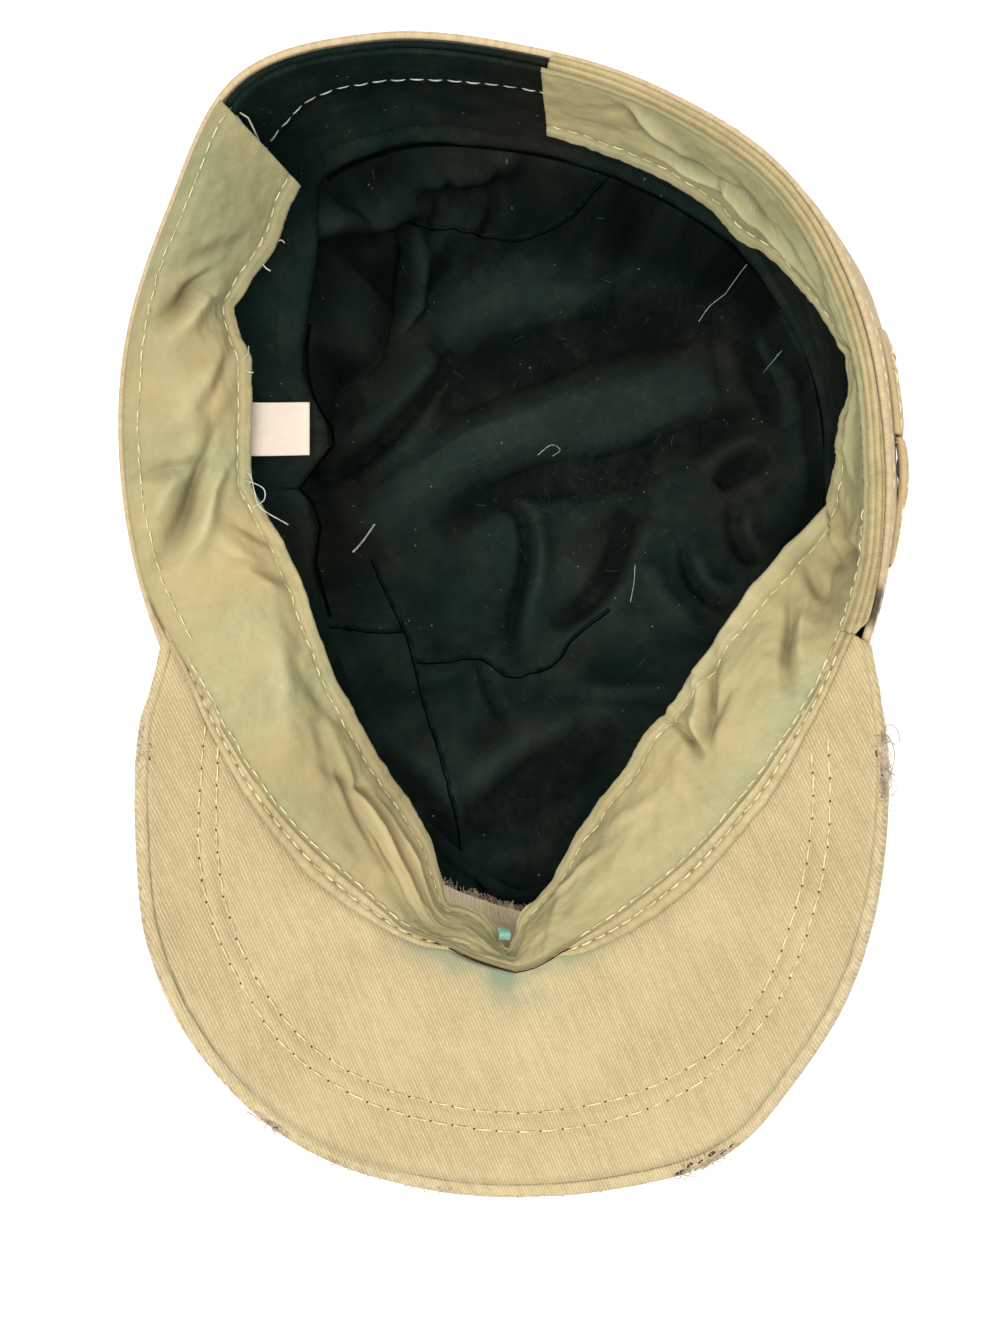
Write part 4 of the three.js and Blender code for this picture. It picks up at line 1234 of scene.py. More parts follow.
@dataclass
class Shell:
    """The crown's canvas panels, the crown top and the hat band."""

    wardrobe: Wardrobe
    step: float = 0.06
    wrinkle: Crumple = field(default_factory=lambda: Crumple(11))
    panels: tuple[tuple[str, float, float], ...] = (("crown_front", -2, 2), ("crown_side_right", 2, 7),
        ("crown_back", 7, 11), ("crown_side_left", 11, 16))

    def _panel_relief(self, start: float, stop: float) -> Callable[[Array, Array], Array]:
        """Wrinkles of one panel, which dips at its side seams."""
        def relief(s: Array, t: Array) -> Array:
            """Height at a place."""
            edge = np.minimum(s - start, stop - s) * STATION_LENGTH
            seam = -0.7 * np.exp(-np.maximum(edge, 0) / 1.3)
            pucker = 0.25 * np.exp(-np.maximum(edge, 0) / 5) * np.sin(t * 70)
            soft = self.wrinkle.layered(s * 1.1, t * 2.2, 3) * 1.1
            crease = self.wrinkle.creased(s * 0.9 + 3, t * 1.6 + 5) * 0.9
            fade = inside(t, 0, 1, 0.12)
            return seam + (pucker + soft * 0.8 - crease) * fade - 0.2
        return relief

    def _wear(self, s: Array, t: Array, point: Array) -> Array:
        """Fading along the panel's seams."""
        return np.exp(-np.minimum(t, 1 - t) * 22)

    def build(self) -> None:
        """Makes and settles the shell's pieces."""
        gap = 0.15 / STATION_LENGTH
        threads = ThreadBundle()
        for name, start, stop in self.panels:
            relief = self._panel_relief(start, stop)
            sheet = ClothSheet(FORM.panel, spread(start + gap, stop - gap, self.step),
                np.linspace(0, 1, 40), 0, -FORM.canvas, relief, {"wear_and_highlight": self._wear})
            self.wardrobe.dress(sheet, f"{name}_cloth", Cloth.SHELL, "shell_canvas", name)
            for side in (start + 0.07, stop - 0.07):
                t = np.linspace(0.04, 0.97, 60)
                Seam(seed=int(side * 10) % 97).follow(threads, sheet, side, t, 0.01)

        crown = ClothSheet(FORM.crown, spread(0, STATIONS, 0.1)[:-1],
            np.concatenate([np.linspace(0, 0.25, 12), np.linspace(0.27, 0.985, 34)]), 0, -FORM.canvas,
            self._crown_relief, {"wear_and_highlight": self._crown_wear}, closed=True)
        self.wardrobe.dress(crown, "crown_top_cloth", Cloth.SHELL, "shell_canvas", "crown_top")
        around = spread(0, STATIONS, 0.03)
        Seam(seed=31).follow(threads, crown, around, 0.2, 0.01)

        band = ClothSheet(FORM.band, spread(0, STATIONS, self.step)[:-1], np.linspace(0, 1, 26),
            FORM.band_proud, FORM.band_proud - FORM.canvas, self._band_relief,
            {"wear_and_highlight": self._band_wear, "painted_shade": self._band_gap_shadow}, closed=True)
        self.wardrobe.dress(band, "hat_band_cloth", Cloth.SHELL, "shell_canvas", "hat_band")
        for down in (0.1, 0.9):
            Seam(seed=int(down * 40)).follow(threads, band, around, down, FORM.band_proud)
        self.wardrobe.dress(threads, "shell_stitching", Thread.STRAW, "shell_canvas")

    def _crown_relief(self, s: Array, t: Array) -> Array:
        """The crown top's edge seam and its faint creases, never below the ground."""
        seam = 0.5 * bell(t - 0.03, 0.02) - 0.3
        inner = clamped((t - 0.27) / 0.1)
        point = FORM.crown(s, t)
        crease = self.wrinkle.creased(point[..., 0] / 38, point[..., 1] / 38)
        return np.where(t < 0.25, seam, -0.1 - 0.5 * inner * clamped(crease))

    def _crown_wear(self, s: Array, t: Array, point: Array) -> Array:
        """The crown's edge is rubbed pale."""
        return bell(t - 0.12, 0.08)

    def _band_relief(self, s: Array, t: Array) -> Array:
        """The hat band's rolled top and lower edges, with slight waves."""
        edge = np.minimum(t, 1 - t) * FORM.band_height
        roll = -0.35 * np.exp(-edge / 0.6)
        groove = -0.25 * bell(edge - 3.0, 0.5)
        wave = np.minimum(self.wrinkle.layered(s * 1.3 + 9, t * 1.2, 3) * 0.45 - 0.2, 0.1)
        return roll + groove + wave * clamped(edge / 4)

    def _band_gap_shadow(self, s: Array, t: Array, point: Array) -> Array:
        """Painted shadow in the gap between the hat band and the peak's right corner."""
        spot = bell(s - 3.82, 0.17, 4) * bell(t, 0.24, 4)
        return clamped(1.4 * spot)

    def _band_wear(self, s: Array, t: Array, point: Array) -> Array:
        """The hat band is rubbed along the rim and its lower seam."""
        return np.exp(-np.minimum(t, 1 - t) * 18)


@dataclass
class Lining:
    """The dark lining: upper strip, the drape below it, its seams, lint and back strip."""

    wardrobe: Wardrobe
    wrinkle: Crumple = field(default_factory=lambda: Crumple(23))
    seam_radius: float = 0.28
    fibres: int = 190
    field_points: Array = field(init=False, repr=False)

    def _brown(self, s: Array, t: Array, point: Array) -> Array:
        """Brownish rubbed places between the greener folds."""
        x, y = point[..., 0], point[..., 1]
        patches = ((-20, 12, 34, 10), (20, 28, 34, 10), (8, -34, 14, 20), (-48, 22, 9, 12),
            (46, -4, 16, 26), (-8, -78, 18, 9), (-58, -16, 9, 20), (-15, 68, 22, 7))
        tone = sum(np.exp(-(((x - at) / wide) ** 2) - ((y - up) / high) ** 2)
            for at, up, wide, high in patches)
        return clamped(tone * 0.9 + 0.35 * self.wrinkle.layered(x / 14, y / 14, 3))

    def _crumples(self, x: Array, y: Array) -> Array:
        """Height of the drape's folds over a place, about an even level."""
        folds = sum(crease.height_at(x, y) for crease in LINING_CREASES)
        run, rise = math.cos(math.radians(36)), math.sin(math.radians(36))
        along, across = x * run + y * rise, y * run - x * rise
        soft = self.wrinkle.layered(along / 26 + 4, across / 13 + 2, 3)
        crisp = self.wrinkle.creased(along / 30 + 1, across / 12 + 6, 3)
        return 1.15 * folds + 1.2 * soft + 1.1 * crisp

    def _drape_relief(self, s: Array, t: Array) -> Array:
        """Folds and crumples of the drape; negative rises into the hollow."""
        point = FORM.drape(s, t)
        lift = 1.6 + self._crumples(point[..., 0], point[..., 1])
        return -np.clip(lift, -0.8, 10) * clamped(t / 0.05)

    def _valley_shade(self, s: Array, t: Array, point: Array) -> Array:
        """Painted shade: deep folds and the back and front of the hollow are darker."""
        x, y = point[..., 0], point[..., 1]
        shade = np.clip((y - 18 - 0.25 * x) / 60, 0, 0.55) + np.clip((-62 - y) / 50, 0, 0.6)
        return np.clip(-0.38 * self._crumples(x, y) + shade, 0, 0.95)

    def _lit_ridges_and_wear(self, s: Array, t: Array, point: Array) -> Array:
        """Folds that stand up are rubbed a little paler and get a painted highlight, and a painted pool of
        light lies over the middle of the drape.
        """
        x, y = point[..., 0], point[..., 1]
        lit = np.exp(-(((x - 2) / 45) ** 2) - ((y + 8) / 42) ** 2)
        return clamped(0.22 * self._crumples(x, y) + 0.3 * lit)

    def build(self) -> None:
        """Makes and settles the lining's pieces."""
        # The drape's masks: brownish patches, painted shade in its valleys, and wear with painted highlights
        # on its ridges.
        masks = {"stain": self._brown, "painted_shade": self._valley_shade, "wear_and_highlight": self._lit_ridges_and_wear}
        drape = ClothSheet(FORM.drape, spread(0, STATIONS, 0.043)[:-1],
            np.concatenate([np.linspace(0, 0.42, 46), np.linspace(0.43, 0.98, 64), [0.99, 0.9985]]), 0,
            -FORM.lining, self._drape_relief, masks, closed=True, flat_uv=True)
        self.wardrobe.dress(drape, "lining_drape", Cloth.LINING, "lining_twill", "lining_top",
            "lining_front_right", "lining_side_right", "lining_back", "lining_side_left",
            "lining_front_left")
        s, t = drape.grids()
        self.field_points = drape.point(s, t, -FORM.lining).reshape(-1, 3)

        band = ClothSheet(FORM.lining_band, spread(0, STATIONS, 0.05)[:-1], np.linspace(0, 1, 44), 0,
            -FORM.lining, self.band_relief, {"stain": self._brown}, closed=True)
        self.wardrobe.dress(band, "lining_band_cloth", Cloth.LINING, "lining_twill", "lining_band")
        lift = -FORM.lining - 2 * FORM.gap
        facing = ClothSheet(self._facing_at, spread(8.66, 11.3, 0.03), np.linspace(0, 1, 26), lift,
            lift - FORM.lining, self._facing_relief, {"stain": self._brown})
        self.wardrobe.dress(facing, "back_facing_cloth", Cloth.LINING, "lining_twill", "back_facing")
        threads = ThreadBundle()
        line_s = spread(8.7, 11.2, 0.02)
        Seam(pitch=4.2, stitch=3.6, radius=0.19, seed=41).follow(threads, facing, line_s, 0.92,
            lift - FORM.lining)
        self.wardrobe.dress(threads, "back_facing_stitching", Thread.PALE, "lining_twill")
        self._seams()
        self._lint()

    def on_drape(self, flat: Array) -> Array:
        """Points of the drape's face under places given by x and y."""
        found = []
        for x, y in flat[:, :2]:
            away = (self.field_points[:, 0] - x) ** 2 + (self.field_points[:, 1] - y) ** 2
            near = np.argpartition(away, 6)[:6]
            weight = 1 / (away[near] + 0.05)
            found.append((x, y, float((self.field_points[near, 2] * weight).sum() / weight.sum())))
        return np.array(found)

    def _seams(self) -> None:
        """Sewn seams: a dark line of painted shade in each seam's groove, with a raised allowance beside it,
        and a line of painted shadow under the upper strip's lower edge.
        """
        dark, ridge = ThreadBundle(), ThreadBundle(sides=6)
        random = np.random.RandomState(3)
        for path in LINING_SEAMS:
            flat = resampled(smooth_line([(x, y, 0) for x, y in path], 8), 0.8)
            jitter = self.wrinkle.at(flat[:, 0] / 2.5, flat[:, 1] / 2.5) * 0.25
            run = np.gradient(flat[:, :2], axis=0)
            run = unit(run)
            side = np.stack([-run[:, 1], run[:, 0]], axis=1)
            groove = flat.copy()
            groove[:, :2] += side * jitter[:, None]
            line = self.on_drape(groove)
            line[:, 2] += 0.02
            dark.add(line, self.seam_radius)
            beside = groove.copy()
            beside[:, :2] += side * 0.62
            line = self.on_drape(beside)
            radius = 0.34 + 0.1 * random.uniform(-1, 1, len(line))
            ridge.add(line + [0, 0, 0.02], radius)
        # Painted shadow: a dark line under the upper strip's lower edge.
        for start, stop, radius in ((4.6, 10.6, 0.55), (12.2, 15.2, 0.4)):
            s = spread(start, stop, 0.03)
            inward, drop, _ = np.moveaxis(periodic(FORM.lining_table, s), -1, 0)
            wave = lookup(BAND_EDGE_WAVE, s)
            dark.add(FORM.from_rim(s, inward + wave + 1.9, drop + 1.2), radius)
        self.wardrobe.dress(dark, "lining_seam_groove_shade", Thread.SEAM_SHADE, "lining_twill")
        self.wardrobe.dress(ridge, "lining_seam_ridges", Thread.RIDGE, "lining_twill")

    def _lint(self) -> None:
        """Short pale fibres caught on the dark cloth."""
        random = np.random.RandomState(19)
        lint = ThreadBundle(sides=3)
        for _ in range(self.fibres):
            x, y = random.normal(-2, 28), random.normal(-8, 34)
            if abs(x) > 58 or not -100 < y < 62:
                continue
            turn, bend = random.uniform(0, 2 * np.pi), random.uniform(-0.9, 0.9)
            long = random.uniform(1.0, 4.2)
            steps = np.linspace(0, 1, 6)
            heading = turn + bend * steps
            flat = np.stack([x + np.cumsum(np.cos(heading)) * long / 6,
                y + np.cumsum(np.sin(heading)) * long / 6, 0 * steps], axis=1)
            line = self.on_drape(flat)
            line[:, 2] += 0.12 + 0.25 * np.sin(np.pi * steps)
            lint.add(line, random.uniform(0.03, 0.055))
        self.wardrobe.dress(lint, "lining_lint", Thread.LINT, "lining_twill")
        bright = ThreadBundle(sides=5)
        for path in (((-56.5, -28), (-54, -24.5), (-51, -20.5)), ((16.5, -41), (17.4, -36), (17.8, -31)),
                ((35, 34), (38, 38), (43, 41)), ((52, 20), (55, 25), (57, 31)),
                ((-8, -2), (-4.5, 0.5), (-2, -0.5), (-4, -2))):
            line = self.on_drape(smooth_line([(x, y, 0) for x, y in path], 6))
            line[:, 2] += 0.3
            bright.add(line, 0.09)
        bright.add(self.on_drape(smooth_line([(-56.5, -28, 0), (-54, -24.5, 0), (-51, -20.5, 0)], 6))
            + [0, 0, 0.45], 0.28)
        self.wardrobe.dress(bright, "lining_thread_ends", Thread.PALE, "lining_twill")

    def band_relief(self, s: Array, t: Array) -> Array:
        """The strip's turned lower edge, with waves."""
        edge = (1 - t) * 40
        hem = -0.9 * clamped(1 - (edge / 3.2) ** 6)
        groove = 0.5 * bell(edge - 3.9, 0.6)
        wave = self.wrinkle.layered(s * 1.6 + 2, t * 1.8, 3)
        crisp = self.wrinkle.creased(s * 1.8 + t, t * 2.4, 2)
        return hem + groove - np.clip(0.5 + wave + 0.6 * crisp, 0, 3) * 0.9 * clamped(t * 2)

    @staticmethod
    def _facing_at(s: Array, t: Array) -> Array:
        """The back strip, which is wider at its left end."""
        reach = np.interp(s, (8.7, 9.0, 9.4, 10.2, 10.55, 10.8, 11.3),
            (0.18, 0.2, 0.23, 0.23, 0.28, 0.4, 0.5))
        return FORM.lining_band(s, t * reach)

    def _facing_relief(self, s: Array, t: Array) -> Array:
        """The facing dips along its stitch line."""
        soft = 0.35 * self.wrinkle.layered(s * 3, t * 1.5, 3)
        return 0.35 * bell(t - 0.92, 0.04) - 0.15 + soft * clamped(t * 3)


@dataclass
class Sweatband:
    """The cotton sweatband, its rim binding and the raw canvas edge at the front."""

    wardrobe: Wardrobe
    start: float = 11.2
    stop: float = 26.84
    thickness: float = 1.1
    length: float = 30.0
    wrinkle: Crumple = field(default_factory=lambda: Crumple(37))

    @staticmethod
    def _creases(s: Array, t: Array) -> Array:
        """Height of the sweatband's main folds."""
        return sum(fold.height_at(s, t) for fold in SWEATBAND_CREASES)

    def _relief(self, s: Array, t: Array) -> Array:
        """Creases and soft waves; a negative height is towards the hollow."""
        creases = 1.25 * self._creases(s, t)
        soft = self.wrinkle.layered(s * 2.0, t * 2.2, 4) * 0.8
        fine = self.wrinkle.creased(s * 4.5, t * 2.2, 2) * 0.35
        pucker = 0.07 * bell(1 - t, 0.09) * np.sin(s * 55 + 3 * np.sin(s * 7))
        gather = bell(t - 0.07, 0.06) * np.sin(s * 62 + 4 * np.sin(s * 9))
        root = 0.3 * bell(t - 0.08, 0.018) * clamped((15.4 - s) / 0.2)
        root = root + 0.25 * bell(t - 0.03, 0.015) + 0.22 * gather
        return -(creases + soft + fine + pucker) * clamped(t / 0.12) + root

    def _thickness(self, s: Array, t: Array) -> Array:
        """The inner face, with the turned hem along the free edge."""
        groove = 0.35 * bell((1 - t) * self.length - 3.6, 0.45)
        return -(self.thickness + hem_ridge(t, self.length, 3.3, 0.7) - groove)

    def _painted_shade_mask(self, s: Array, t: Array, point: Array) -> Array:
        """Painted shade in the creases, stronger at the back right, in the stitched hem's groove and beside
        the outer fold; also darker towards the left end and in a few broad patches.
        """
        creases = self._creases(s, t)
        hem = 0.25 * bell((1 - t) * self.length - 3.3, 0.3)
        over_peak = np.clip(np.minimum(s - 15.2, 21.6 - s) / 0.3, 0.3, 1)
        corner = 0.3 * np.exp(-((s - 11.7) / 0.8) ** 2 - ((t - 0.6) / 0.5) ** 2)
        dull = 0.12 * bell(s - 16.4, 0.5) + 0.12 * bell(s - 25.4, 0.9)
        left = 0.14 * clamped((14.6 - s) / 1.2)
        shade = corner + dull + left + 0.6 * over_peak * np.exp(-t * 60)
        deep = 1 + 0.9 * clamped((s - 22.8) / 0.6)
        return np.clip(clamped(-0.28 * deep * (creases + 0.3)) + hem + shade, 0, 0.8)

    def _ridge_highlights_and_wear(self, s: Array, t: Array, point: Array) -> Array:
        """Raised folds get a painted highlight, and the free edge is rubbed paler."""
        creases = self._creases(s, t)
        return np.clip(0.4 * (creases - 0.3), 0, 0.8) + np.exp(-(1 - t) * 26)

    def _tan(self, s: Array, t: Array, point: Array) -> Array:
        """Tan patches where the cloth has yellowed."""
        patches = ((11.8, 0.5, 1.1, 1.0, -0.8), (12.95, 0.5, 0.4, 0.5, 0.7),
            (13.75, 0.5, 0.28, 0.7, -0.4), (14.5, 0.6, 0.42, 0.4, 0.45), (15.5, 0.4, 0.5, 0.4, -0.25),
            (17.0, 0.6, 0.4, 0.5, 0.35), (17.8, 0.5, 0.25, 0.4, -0.25), (20.6, 0.03, 1.1, 0.16, -0.5),
            (19.9, 0.5, 0.8, 0.4, 0.15), (21.6, 0.6, 0.6, 0.5, 0.3), (23.3, 0.5, 0.9, 1.0, -0.5),
            (25.4, 0.5, 1.3, 1.0, -0.6))
        tone = 0.55 + 0.7 * sum(a * np.exp(-((s - at) / ws) ** 2 - ((t - down) / wt) ** 2)
            for at, down, ws, wt, a in patches)
        return clamped(tone + 0.2 * self.wrinkle.layered(s * 3, t * 3, 3))

    def build(self) -> None:
        """Makes and settles the sweatband's pieces."""
        along = np.concatenate([spread(self.start, 16.8, 0.028), spread(16.815, 18.5, 0.014),
            spread(18.52, self.stop, 0.028)])
        sheet = ClothSheet(FORM.sweatband, along, np.linspace(0, 1, 56), 0, self._thickness, self._relief,
            {"stain": self._tan, "wear_and_highlight": self._ridge_highlights_and_wear, "painted_shade": self._painted_shade_mask}, nudge=0.012)
        band = self.wardrobe.dress(sheet, "sweatband_cloth", Cloth.SWEAT, "sweatband_cotton", "sweatband")
        threads = ThreadBundle()
        for place, radius, seed, start, stop in ((1 - 3.6 / self.length, 0.17, 3, self.start + 0.03,
                self.stop - 0.03), (0.065, 0.17, 5, self.start + 0.03, 15.1),
                (0.02, 0.21, 4, 15.2, 17.42), (0.02, 0.21, 6, 18.5, 22.6)):
            s = spread(start, stop, 0.01)
            Seam(pitch=3.6, stitch=2.9, radius=radius, waver=0.22, seed=seed).follow(threads, sheet, s,
                place, self._thickness)
        stitches = self.wardrobe.dress(threads, "sweatband_stitching", Thread.OLIVE, "sweatband_cotton")
        # The rolled hem at the front, coloured paler than the sweatband as a painted highlight.
        roll = ThreadBundle(sides=10)
        s = spread(17.24, 18.34, 0.008)
        line, _ = row_on(sheet, s, 0.995, -1.0)
        roll.add(line, 0.1 + 0.8 * inside(s, 17.24, 18.34, 0.12))
        self.wardrobe.dress(roll, "front_hem_roll_highlight", Thread.HEM_HIGHLIGHT, "sweatband_cotton")
        under = ThreadBundle(sides=6)
        s = spread(17.3, 18.78, 0.012)
        fold = lookup(FRONT_FOLD, s)
        fade = inside(s, 17.3, 18.78, 0.12)
        under.add(FORM.from_rim(s, fold - 0.6, -1.3), 0.06 + 0.1 * fade)
        self.wardrobe.dress(under, "front_fold_shadow", Thread.SHADE, "sweatband_cotton")

        binding = ClothSheet(FORM.binding, spread(11.2, 26.8, 0.03), np.linspace(0, 1, 28), 0, -1.2,
            self._binding_relief, {"wear_and_highlight": self._wear, "painted_shade": self._binding_groove_shade})
        self.wardrobe.dress(binding, "rim_binding_cloth", Cloth.RIM, "shell_canvas", "rim_binding")
        lift = -FORM.lining - 2 * FORM.gap
        raw = ClothSheet(self._raw_at, spread(17.2, 18.6, 0.012), np.linspace(0, 1, 44), lift, lift - 1.0,
            self._raw_relief)
        self.wardrobe.dress(raw, "front_allowance_cloth", Cloth.RAW, "shell_canvas", "front_allowance")
        self._raw_fringe(raw, lift)

    def _raw_fringe(self, raw: ClothSheet, lift: float) -> None:
        """Loose warp ends along the raw canvas edge."""
        random = np.random.RandomState(77)
        fringe = ThreadBundle(sides=4)
        s = np.sort(random.uniform(17.25, 18.55, 230))
        base, normal = row_on(raw, s, 0.985, lift - 0.8)
        inner, _ = row_on(raw, s, 0.94, lift - 0.8)
        away = base - inner
        away = unit(away)
        for k in range(len(s)):
            long = random.uniform(0.8, 2.6)
            side = np.cross(away[k], normal[k]) * random.uniform(-0.9, 0.9)
            curl = normal[k] * random.uniform(0.0, 0.8)
            t = np.linspace(0, 1, 5)[:, None]
            line = base[k] + (away[k] + side * t + curl * t) * t * long
            fringe.add(line, 0.09)
        self.wardrobe.dress(fringe, "front_allowance_fringe", Thread.FRAY, "shell_canvas")

    @staticmethod
    def _raw_at(s: Array, t: Array) -> Array:
        """The raw canvas runs down the upper strip to an uneven edge."""
        reach = np.interp(s, (17.2, 17.4, 17.7, 18.0, 18.3, 18.6), (0.66, 0.78, 0.85, 0.87, 0.84, 0.75))
        return FORM.lining_band(s, t * reach)

    def _raw_relief(self, s: Array, t: Array) -> Array:
        """The coarse canvas lies over the lining's waves."""
        rise = clamped((t - 0.35) / 0.25)
        return 0.9 - 0.9 * rise + (-1.6 + 0.4 * self.wrinkle.layered(s * 5, t * 4, 2)) * rise

    def _binding_relief(self, s: Array, t: Array) -> Array:
        """Raised cords of turned cloth with grooves between them."""
        outer, inner = FORM.binding_reach(s)
        place = (inner - outer) * (1 - t)
        cords = 1 - np.abs(np.sin(np.pi * (place / 1.45 + 0.1))) ** 0.6
        return 0.9 * cords - 0.3 + 0.2 * self.wrinkle.layered(s * 6, t * 0.5, 2)

    def _binding_groove_shade(self, s: Array, t: Array, point: Array) -> Array:
        """Dark lines of painted shade in the grooves between the binding's cords."""
        outer, inner = FORM.binding_reach(s)
        place = (inner - outer) * (1 - t) + 0.12 * self.wrinkle.layered(s * 9, t, 2)
        groove = 1 - np.abs(np.sin(np.pi * (place / 1.45 + 0.1)))
        return np.clip(groove * 1.2 - 0.7, 0, 0.36)

    def _wear(self, s: Array, t: Array, point: Array) -> Array:
        """Rubbing along the free edge."""
        return np.exp(-(1 - t) * 26)


@dataclass
class Peak:
    """The stiff peak: its two cloths, edge band, seam tape and stitch rows."""

    wardrobe: Wardrobe
    cloth: float = 1.5
    edging: float = 3.0
    overlap: float = 0.8
    step: float = 0.025
    wrinkle: Crumple = field(default_factory=lambda: Crumple(53))

    @staticmethod
    def _span(s: Array) -> Array:
        """The peak's length from its root to its outline."""
        one = np.ones_like(s)
        return np.linalg.norm(FORM.peak(s, one) - FORM.peak(s, 0 * one), axis=-1)

    def _inner(self, s: Array, inset: float) -> Array:
        """How far along t the cloth stops, so that the edge band keeps its width."""
        span = self._span(s)
        return np.maximum(0.25, 1 - inset / span)

    def _body(self, s: Array, t: Array) -> Array:
        """The cloth inside the edge band."""
        return FORM.peak(s, t * self._inner(s, self.edging - self.overlap))

    def _edge(self, s: Array, t: Array) -> Array:
        """The edge band, worn thin or torn in places."""
        inner = self._inner(s, self.edging)
        return FORM.peak(s, inner + (1 - inner) * t)

    def _nicks(self, s: Array, t: Array) -> Array:
        """Ragged outline, in millimetres outward."""
        return 0.15 * self.wrinkle.layered(s * 26, t * 2, 2)

    def _relief(self, s: Array, t: Array) -> Array:
        """Grooves under the two stitch rows and slight unevenness."""
        place = t * self._inner(s, self.edging - self.overlap)
        point = FORM.peak(s, place)
        x, y = point[..., 0], point[..., 1]
        span = self._span(s)
        inset = (1 - place) * span
        height = self.wrinkle.layered(x / 34, y / 34, 3) * 0.45
        for row in (OUTER_ROW, INNER_ROW):
            height += Crease(row, 0.8, 0.45).height_at(x, y)
        between = Crease(tuple(((a + c) / 2, (b + d) / 2)
            for (a, b), (c, d) in zip(OUTER_ROW, INNER_ROW)), 1.6, -0.2)
        height += between.height_at(x, y)
        height -= 0.15 * bell(inset - self.edging - 0.4, 0.5)
        return height

    def on_under(self, under: ClothSheet, path: Sequence[tuple[float, float]],
            spacing: float = 0.6) -> tuple[Array, Array]:
        """A line on the peak's lower face above places given by x and y.

        Args:
            under: The peak's lower cloth.
            path: Places along the line.
            spacing: Distance between its points.
        Returns:
            The points and their normals towards the viewer.
        """
        flat = resampled(smooth_line([(x, y, 0) for x, y in path], 10), spacing)
        s, t = under.grids()
        grid = FORM.peak(s, t * self._inner(s, self.edging - self.overlap)).reshape(-1, 3)
        near = np.array([np.argmin((grid[:, 0] - x) ** 2 + (grid[:, 1] - y) ** 2)
            for x, y in flat[:, :2]])
        s_near, t_near = s.reshape(-1)[near], t.reshape(-1)[near]
        face = under.point(s_near[:, None], t_near[:, None], 0.01)[:, 0]
        normal = under.normals(s_near[:, None], t_near[:, None])[:, 0]
        normal *= np.sign(normal[:, 2:3])
        slope = -normal[:, :2] / normal[:, 2:3]
        height = face[:, 2] + np.sum((flat[:, :2] - face[:, :2]) * slope, axis=1)
        kernel = np.ones(5) / 5
        height = np.convolve(np.pad(height, 2, mode="edge"), kernel, mode="valid")
        return np.column_stack([flat[:, :2], height]), normal

    @staticmethod
    def _from_fold(s: Array, point: Array) -> Array:
        """How far a place lies from the sweatband's outer fold."""
        fold = FORM.from_rim(s, lookup(FRONT_FOLD, s), 0)
        return np.hypot(point[..., 0] - fold[..., 0], point[..., 1] - fold[..., 1])

    def _stain(self, s: Array, t: Array, point: Array) -> Array:
        """A greenish shade beside the front seam."""
        x, y = point[..., 0], point[..., 1]
        away = self._from_fold(s, point)
        run = inside(s, 17.15, 18.85, 0.4)
        tip = np.exp(-(((x + 13) / 7) ** 2) - ((y + 133) / 5.5) ** 2)
        streaks = 0.8 + 0.5 * self.wrinkle.layered(x / 6, y / 6, 2)
        return clamped((run * bell(away, 5.4) + 0.7 * tip) * streaks)

    def _painted_shade_mask(self, s: Array, t: Array, point: Array) -> Array:
        """Painted shadow where the peak runs under the sweatband's fold, and painted shade along a groove
        near the cloth's outer end.
        """
        away = self._from_fold(s, point)
        run = inside(s, 17.35, 18.75, 0.15)
        inset = (1 - t) * 40
        groove = 0.3 * bell(inset - 0.9, 0.5)
        return clamped(run * bell(away, 1.15, 6) + groove)

    def _wear(self, s: Array, t: Array, point: Array) -> Array:
        """Fading near the outline."""
        return clamped((t - 0.9) / 0.1) * 0.5

    def build(self) -> None:
        """Makes and settles the peak's pieces."""
        along = spread(FORM.peak_from, FORM.peak_to, self.step)
        masks = {"stain": self._stain, "wear_and_highlight": self._wear, "painted_shade": self._painted_shade_mask}
        under = ClothSheet(self._body, along, np.linspace(0, 1, 60), 0, lambda s,
            t: -self.cloth * self._thin(s), self._relief, masks, flat_uv=True)
        self.wardrobe.dress(under, "peak_under_cloth", Cloth.PEAK, "peak_twill", "peak_under")
        low = -self.cloth - FORM.gap
        upper = ClothSheet(self._body, along, np.linspace(0, 1, 40), lambda s, t: low * self._thin(s),
            lambda s, t: (low - self.cloth) * self._thin(s), 0.0, {"wear_and_highlight": self._wear})
        self.wardrobe.dress(upper, "peak_upper_cloth", Cloth.SHELL, "shell_canvas", "peak_upper")
        edge = ClothSheet(self._edge, along, np.linspace(0, 1, 12), self._edge_top, self._edge_foot,
            self._nicks, {"wear_and_highlight": self._edge_wear}, flat_uv=True)
        self.wardrobe.dress(edge, "peak_edging_cloth", Cloth.PEAK, "peak_twill", "peak_edging")
        tape = ClothSheet(FORM.tape, spread(FORM.peak_from + 0.02, FORM.peak_to - 0.02, 0.03),
            np.linspace(0, 1, 34), 0, -1.0, self._tape_relief, {"wear_and_highlight": self._edge_wear,
            "painted_shade": self._tape_groove_shade})
        self.wardrobe.dress(tape, "peak_seam_tape_cloth", Cloth.RIM, "peak_twill", "peak_seam_tape")
        self._stitch(under, tape)

